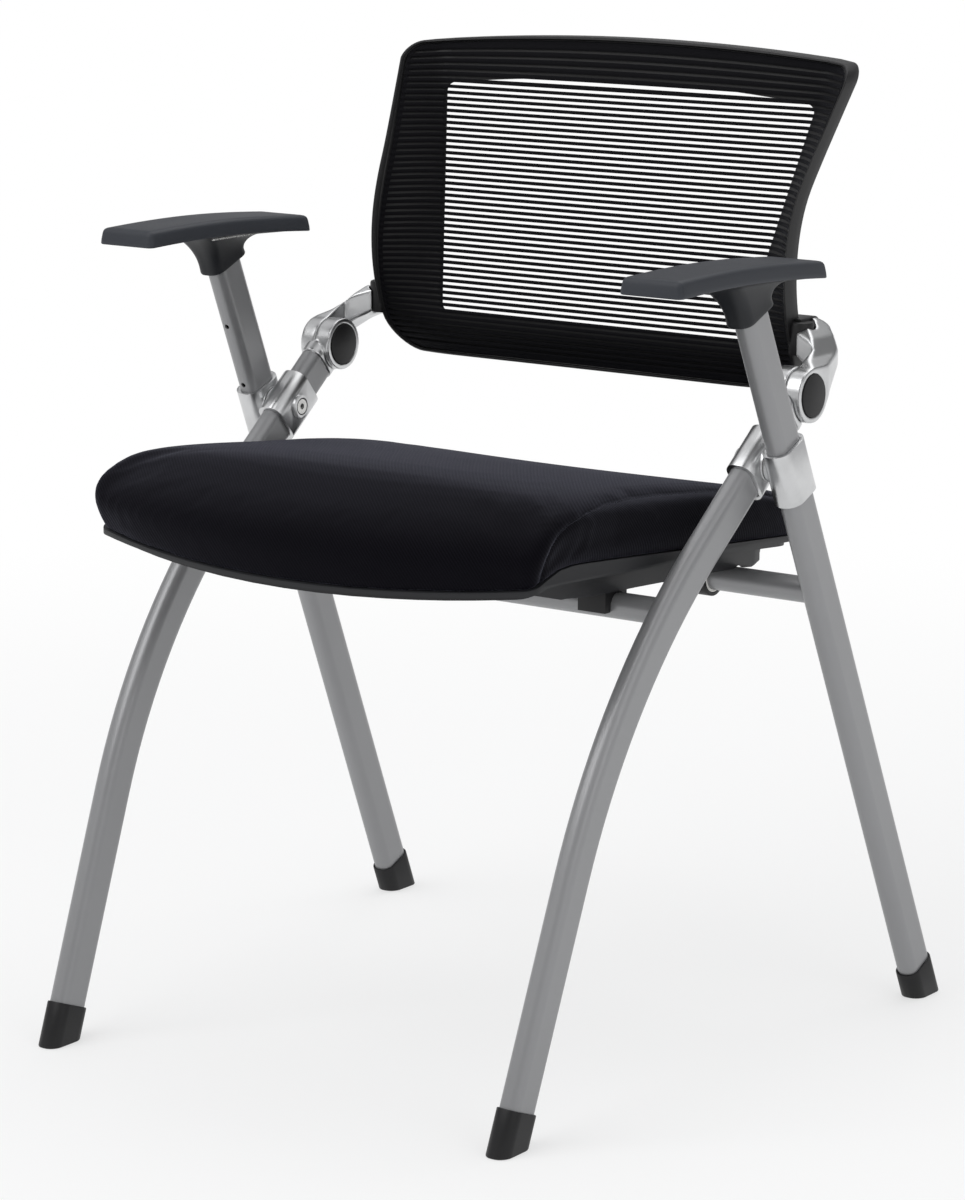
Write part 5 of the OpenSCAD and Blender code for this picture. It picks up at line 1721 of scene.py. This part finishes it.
def aimed(name: str, data: bpy.types.ID, place: Vector, back: Vector) -> bpy.types.Object:
    """Adds a camera or lamp that faces against a direction.

    Args:
        name: Its name.
        data: The camera's or lamp's data.
        place: Where it stands.
        back: The direction behind it.

    Returns:
        The new object.
    """
    obj = bpy.data.objects.new(name, data)
    obj.location = place
    obj.rotation_mode = "QUATERNION"
    obj.rotation_quaternion = (-back).to_track_quat("-Z", "Y")
    bpy.context.scene.collection.objects.link(obj)
    return obj


@dataclass(frozen=True)
class Lamp:
    """A square soft lamp that faces the chair, with its angles in degrees."""

    name: str
    azimuth: float
    elevation: float
    away: float
    size: float
    share: float
    aim_height: float = 0.42

    def build(self) -> None:
        """Adds the lamp, whose share is the brightness that a white surface facing it gets."""
        back = towards(self.azimuth, self.elevation)
        data = bpy.data.lights.new(self.name, "AREA")
        data.shape, data.size = "SQUARE", self.size
        data.energy = self.share * math.pi**2 * self.away**2
        aimed(self.name, data, Vector((0.0, 0.0, self.aim_height)) + back * self.away, back)


@dataclass
class Studio:
    """Camera, floor, lamps and surroundings."""

    azimuth: float = 35.85
    elevation: float = 12.14
    distance: float = 3.5692
    shift_right: float = 0.00897
    shift_up: float = 0.35611
    lens: float = 123.6
    sensor: float = 36.0
    clip: Flat = (0.05, 60.0)
    ambient: float = 0.62
    ambient_color: tuple[float, float, float, float] = (0.98, 0.99, 1.0, 1.0)
    floor_size: float = 24.0
    floor_drop: float = 0.0005
    floor_paint: tuple[float, float, float, float] = (0.86, 0.86, 0.86, 1.0)
    floor_glow: float = 0.62
    fade: Flat = (0.7, 2.2)
    # What gloss sees of the room, as shares of the way up and grey levels.
    gloss: tuple[Flat, ...] = (
        (0.0, 0.6), (0.15, 0.7), (0.30, 0.5), (0.38, 0.08), (0.52, 0.05), (0.60, 0.5), (0.78, 0.85),
        (1.0, 0.35),
    )
    gloss_blue: float = 1.01
    lamps: tuple[Lamp, ...] = (
        Lamp("key_lamp", -25.0, 48.0, 3.2, 2.4, 0.42),
        Lamp("fill_lamp", 75.0, 25.0, 3.4, 2.0, 0.11),
        Lamp("top_lamp", 180.0, 62.0, 3.0, 2.6, 0.28),
    )

    def camera(self) -> None:
        """Places the camera as the photograph's was."""
        back, across = towards(self.azimuth, self.elevation), math.radians(self.azimuth)
        right = Vector((math.cos(across), math.sin(across), 0.0))
        place = back * self.distance + right * self.shift_right + back.cross(right) * self.shift_up
        data = bpy.data.cameras.new("photo_camera")
        data.lens, data.sensor_width, data.sensor_fit = self.lens, self.sensor, "AUTO"
        data.clip_start, data.clip_end = self.clip
        bpy.context.scene.camera = aimed("photo_camera", data, place, back)

    def floor(self) -> None:
        """Pale floor that keeps the chair's shadow and fades to white far off."""
        clear_selection()
        bpy.ops.mesh.primitive_plane_add(size=self.floor_size, location=(0, 0, -self.floor_drop))
        floor = bpy.context.object
        floor.name = "studio_floor"
        bpy.ops.object.transform_apply(location=True)
        g = Graph("studio_floor")
        x, y, _ = g.parts(g.place())
        far = (x * x + y * y).maths("SQRT").step(*self.fade)
        rays = g.node("ShaderNodeLightPath")
        seen = (g.signal(rays, "Is Camera Ray") + g.signal(rays, "Is Glossy Ray")).maths("MINIMUM", 1.0)
        paint = g.node("ShaderNodeBsdfDiffuse", {}, {"Color": self.floor_paint})
        glow = g.node("ShaderNodeEmission", {}, {"Color": WHITE, "Strength": 1.0})
        share = seen * (far * (1 - self.floor_glow) + self.floor_glow)
        mix = g.node("ShaderNodeMixShader", {}, {0: share, 1: paint.outputs[0], 2: glow.outputs[0]})
        g.node("ShaderNodeOutputMaterial", {}, {"Surface": mix.outputs[0]})
        floor.data.materials.append(g.owner)

    def world(self) -> None:
        """White surroundings for the camera, and a soft studio for light and reflections."""
        g = Graph("studio", "worlds")
        bpy.context.scene.world = g.owner
        rays = g.node("ShaderNodeLightPath").outputs
        _, _, up = g.parts(g.node("ShaderNodeTexCoord").outputs["Generated"])
        stops = [(spot, (level, level, level * self.gloss_blue)) for spot, level in self.gloss]
        ramp = g.node("ShaderNodeValToRGB", {"stops": stops}, {0: up})
        gloss = g.node("ShaderNodeBackground", {}, {0: ramp.outputs[0]})
        soft = g.node("ShaderNodeBackground", {}, {0: self.ambient_color, 1: self.ambient})
        white = g.node("ShaderNodeBackground", {}, {0: WHITE})
        lit = {0: rays["Is Glossy Ray"], 1: soft.outputs[0], 2: gloss.outputs[0]}
        shine = g.node("ShaderNodeMixShader", {}, lit)
        shown = {0: rays["Is Camera Ray"], 1: shine.outputs[0], 2: white.outputs[0]}
        seen = g.node("ShaderNodeMixShader", {}, shown)
        g.node("ShaderNodeOutputWorld", {}, {0: seen.outputs[0]})

    def build(self) -> None:
        """Sets up the whole studio."""
        bpy.context.scene.view_settings.view_transform = "Standard"
        self.camera()
        self.floor()
        self.world()
        for lamp in self.lamps:
            lamp.build()


def main() -> None:
    """Builds the chair and its studio."""
    logging.basicConfig(level=logging.INFO, format="%(name)s: %(message)s")
    finishes = Wardrobe()
    makers: list[Callable[[], None]] = [
        Studio().build, LegFrames(finishes).build, Armrests(finishes).build,
        Seat(finishes).build, Backrest(finishes).build,
    ]
    for make in makers:
        make()
    clear_selection()


if __name__ == "__main__":
    main()
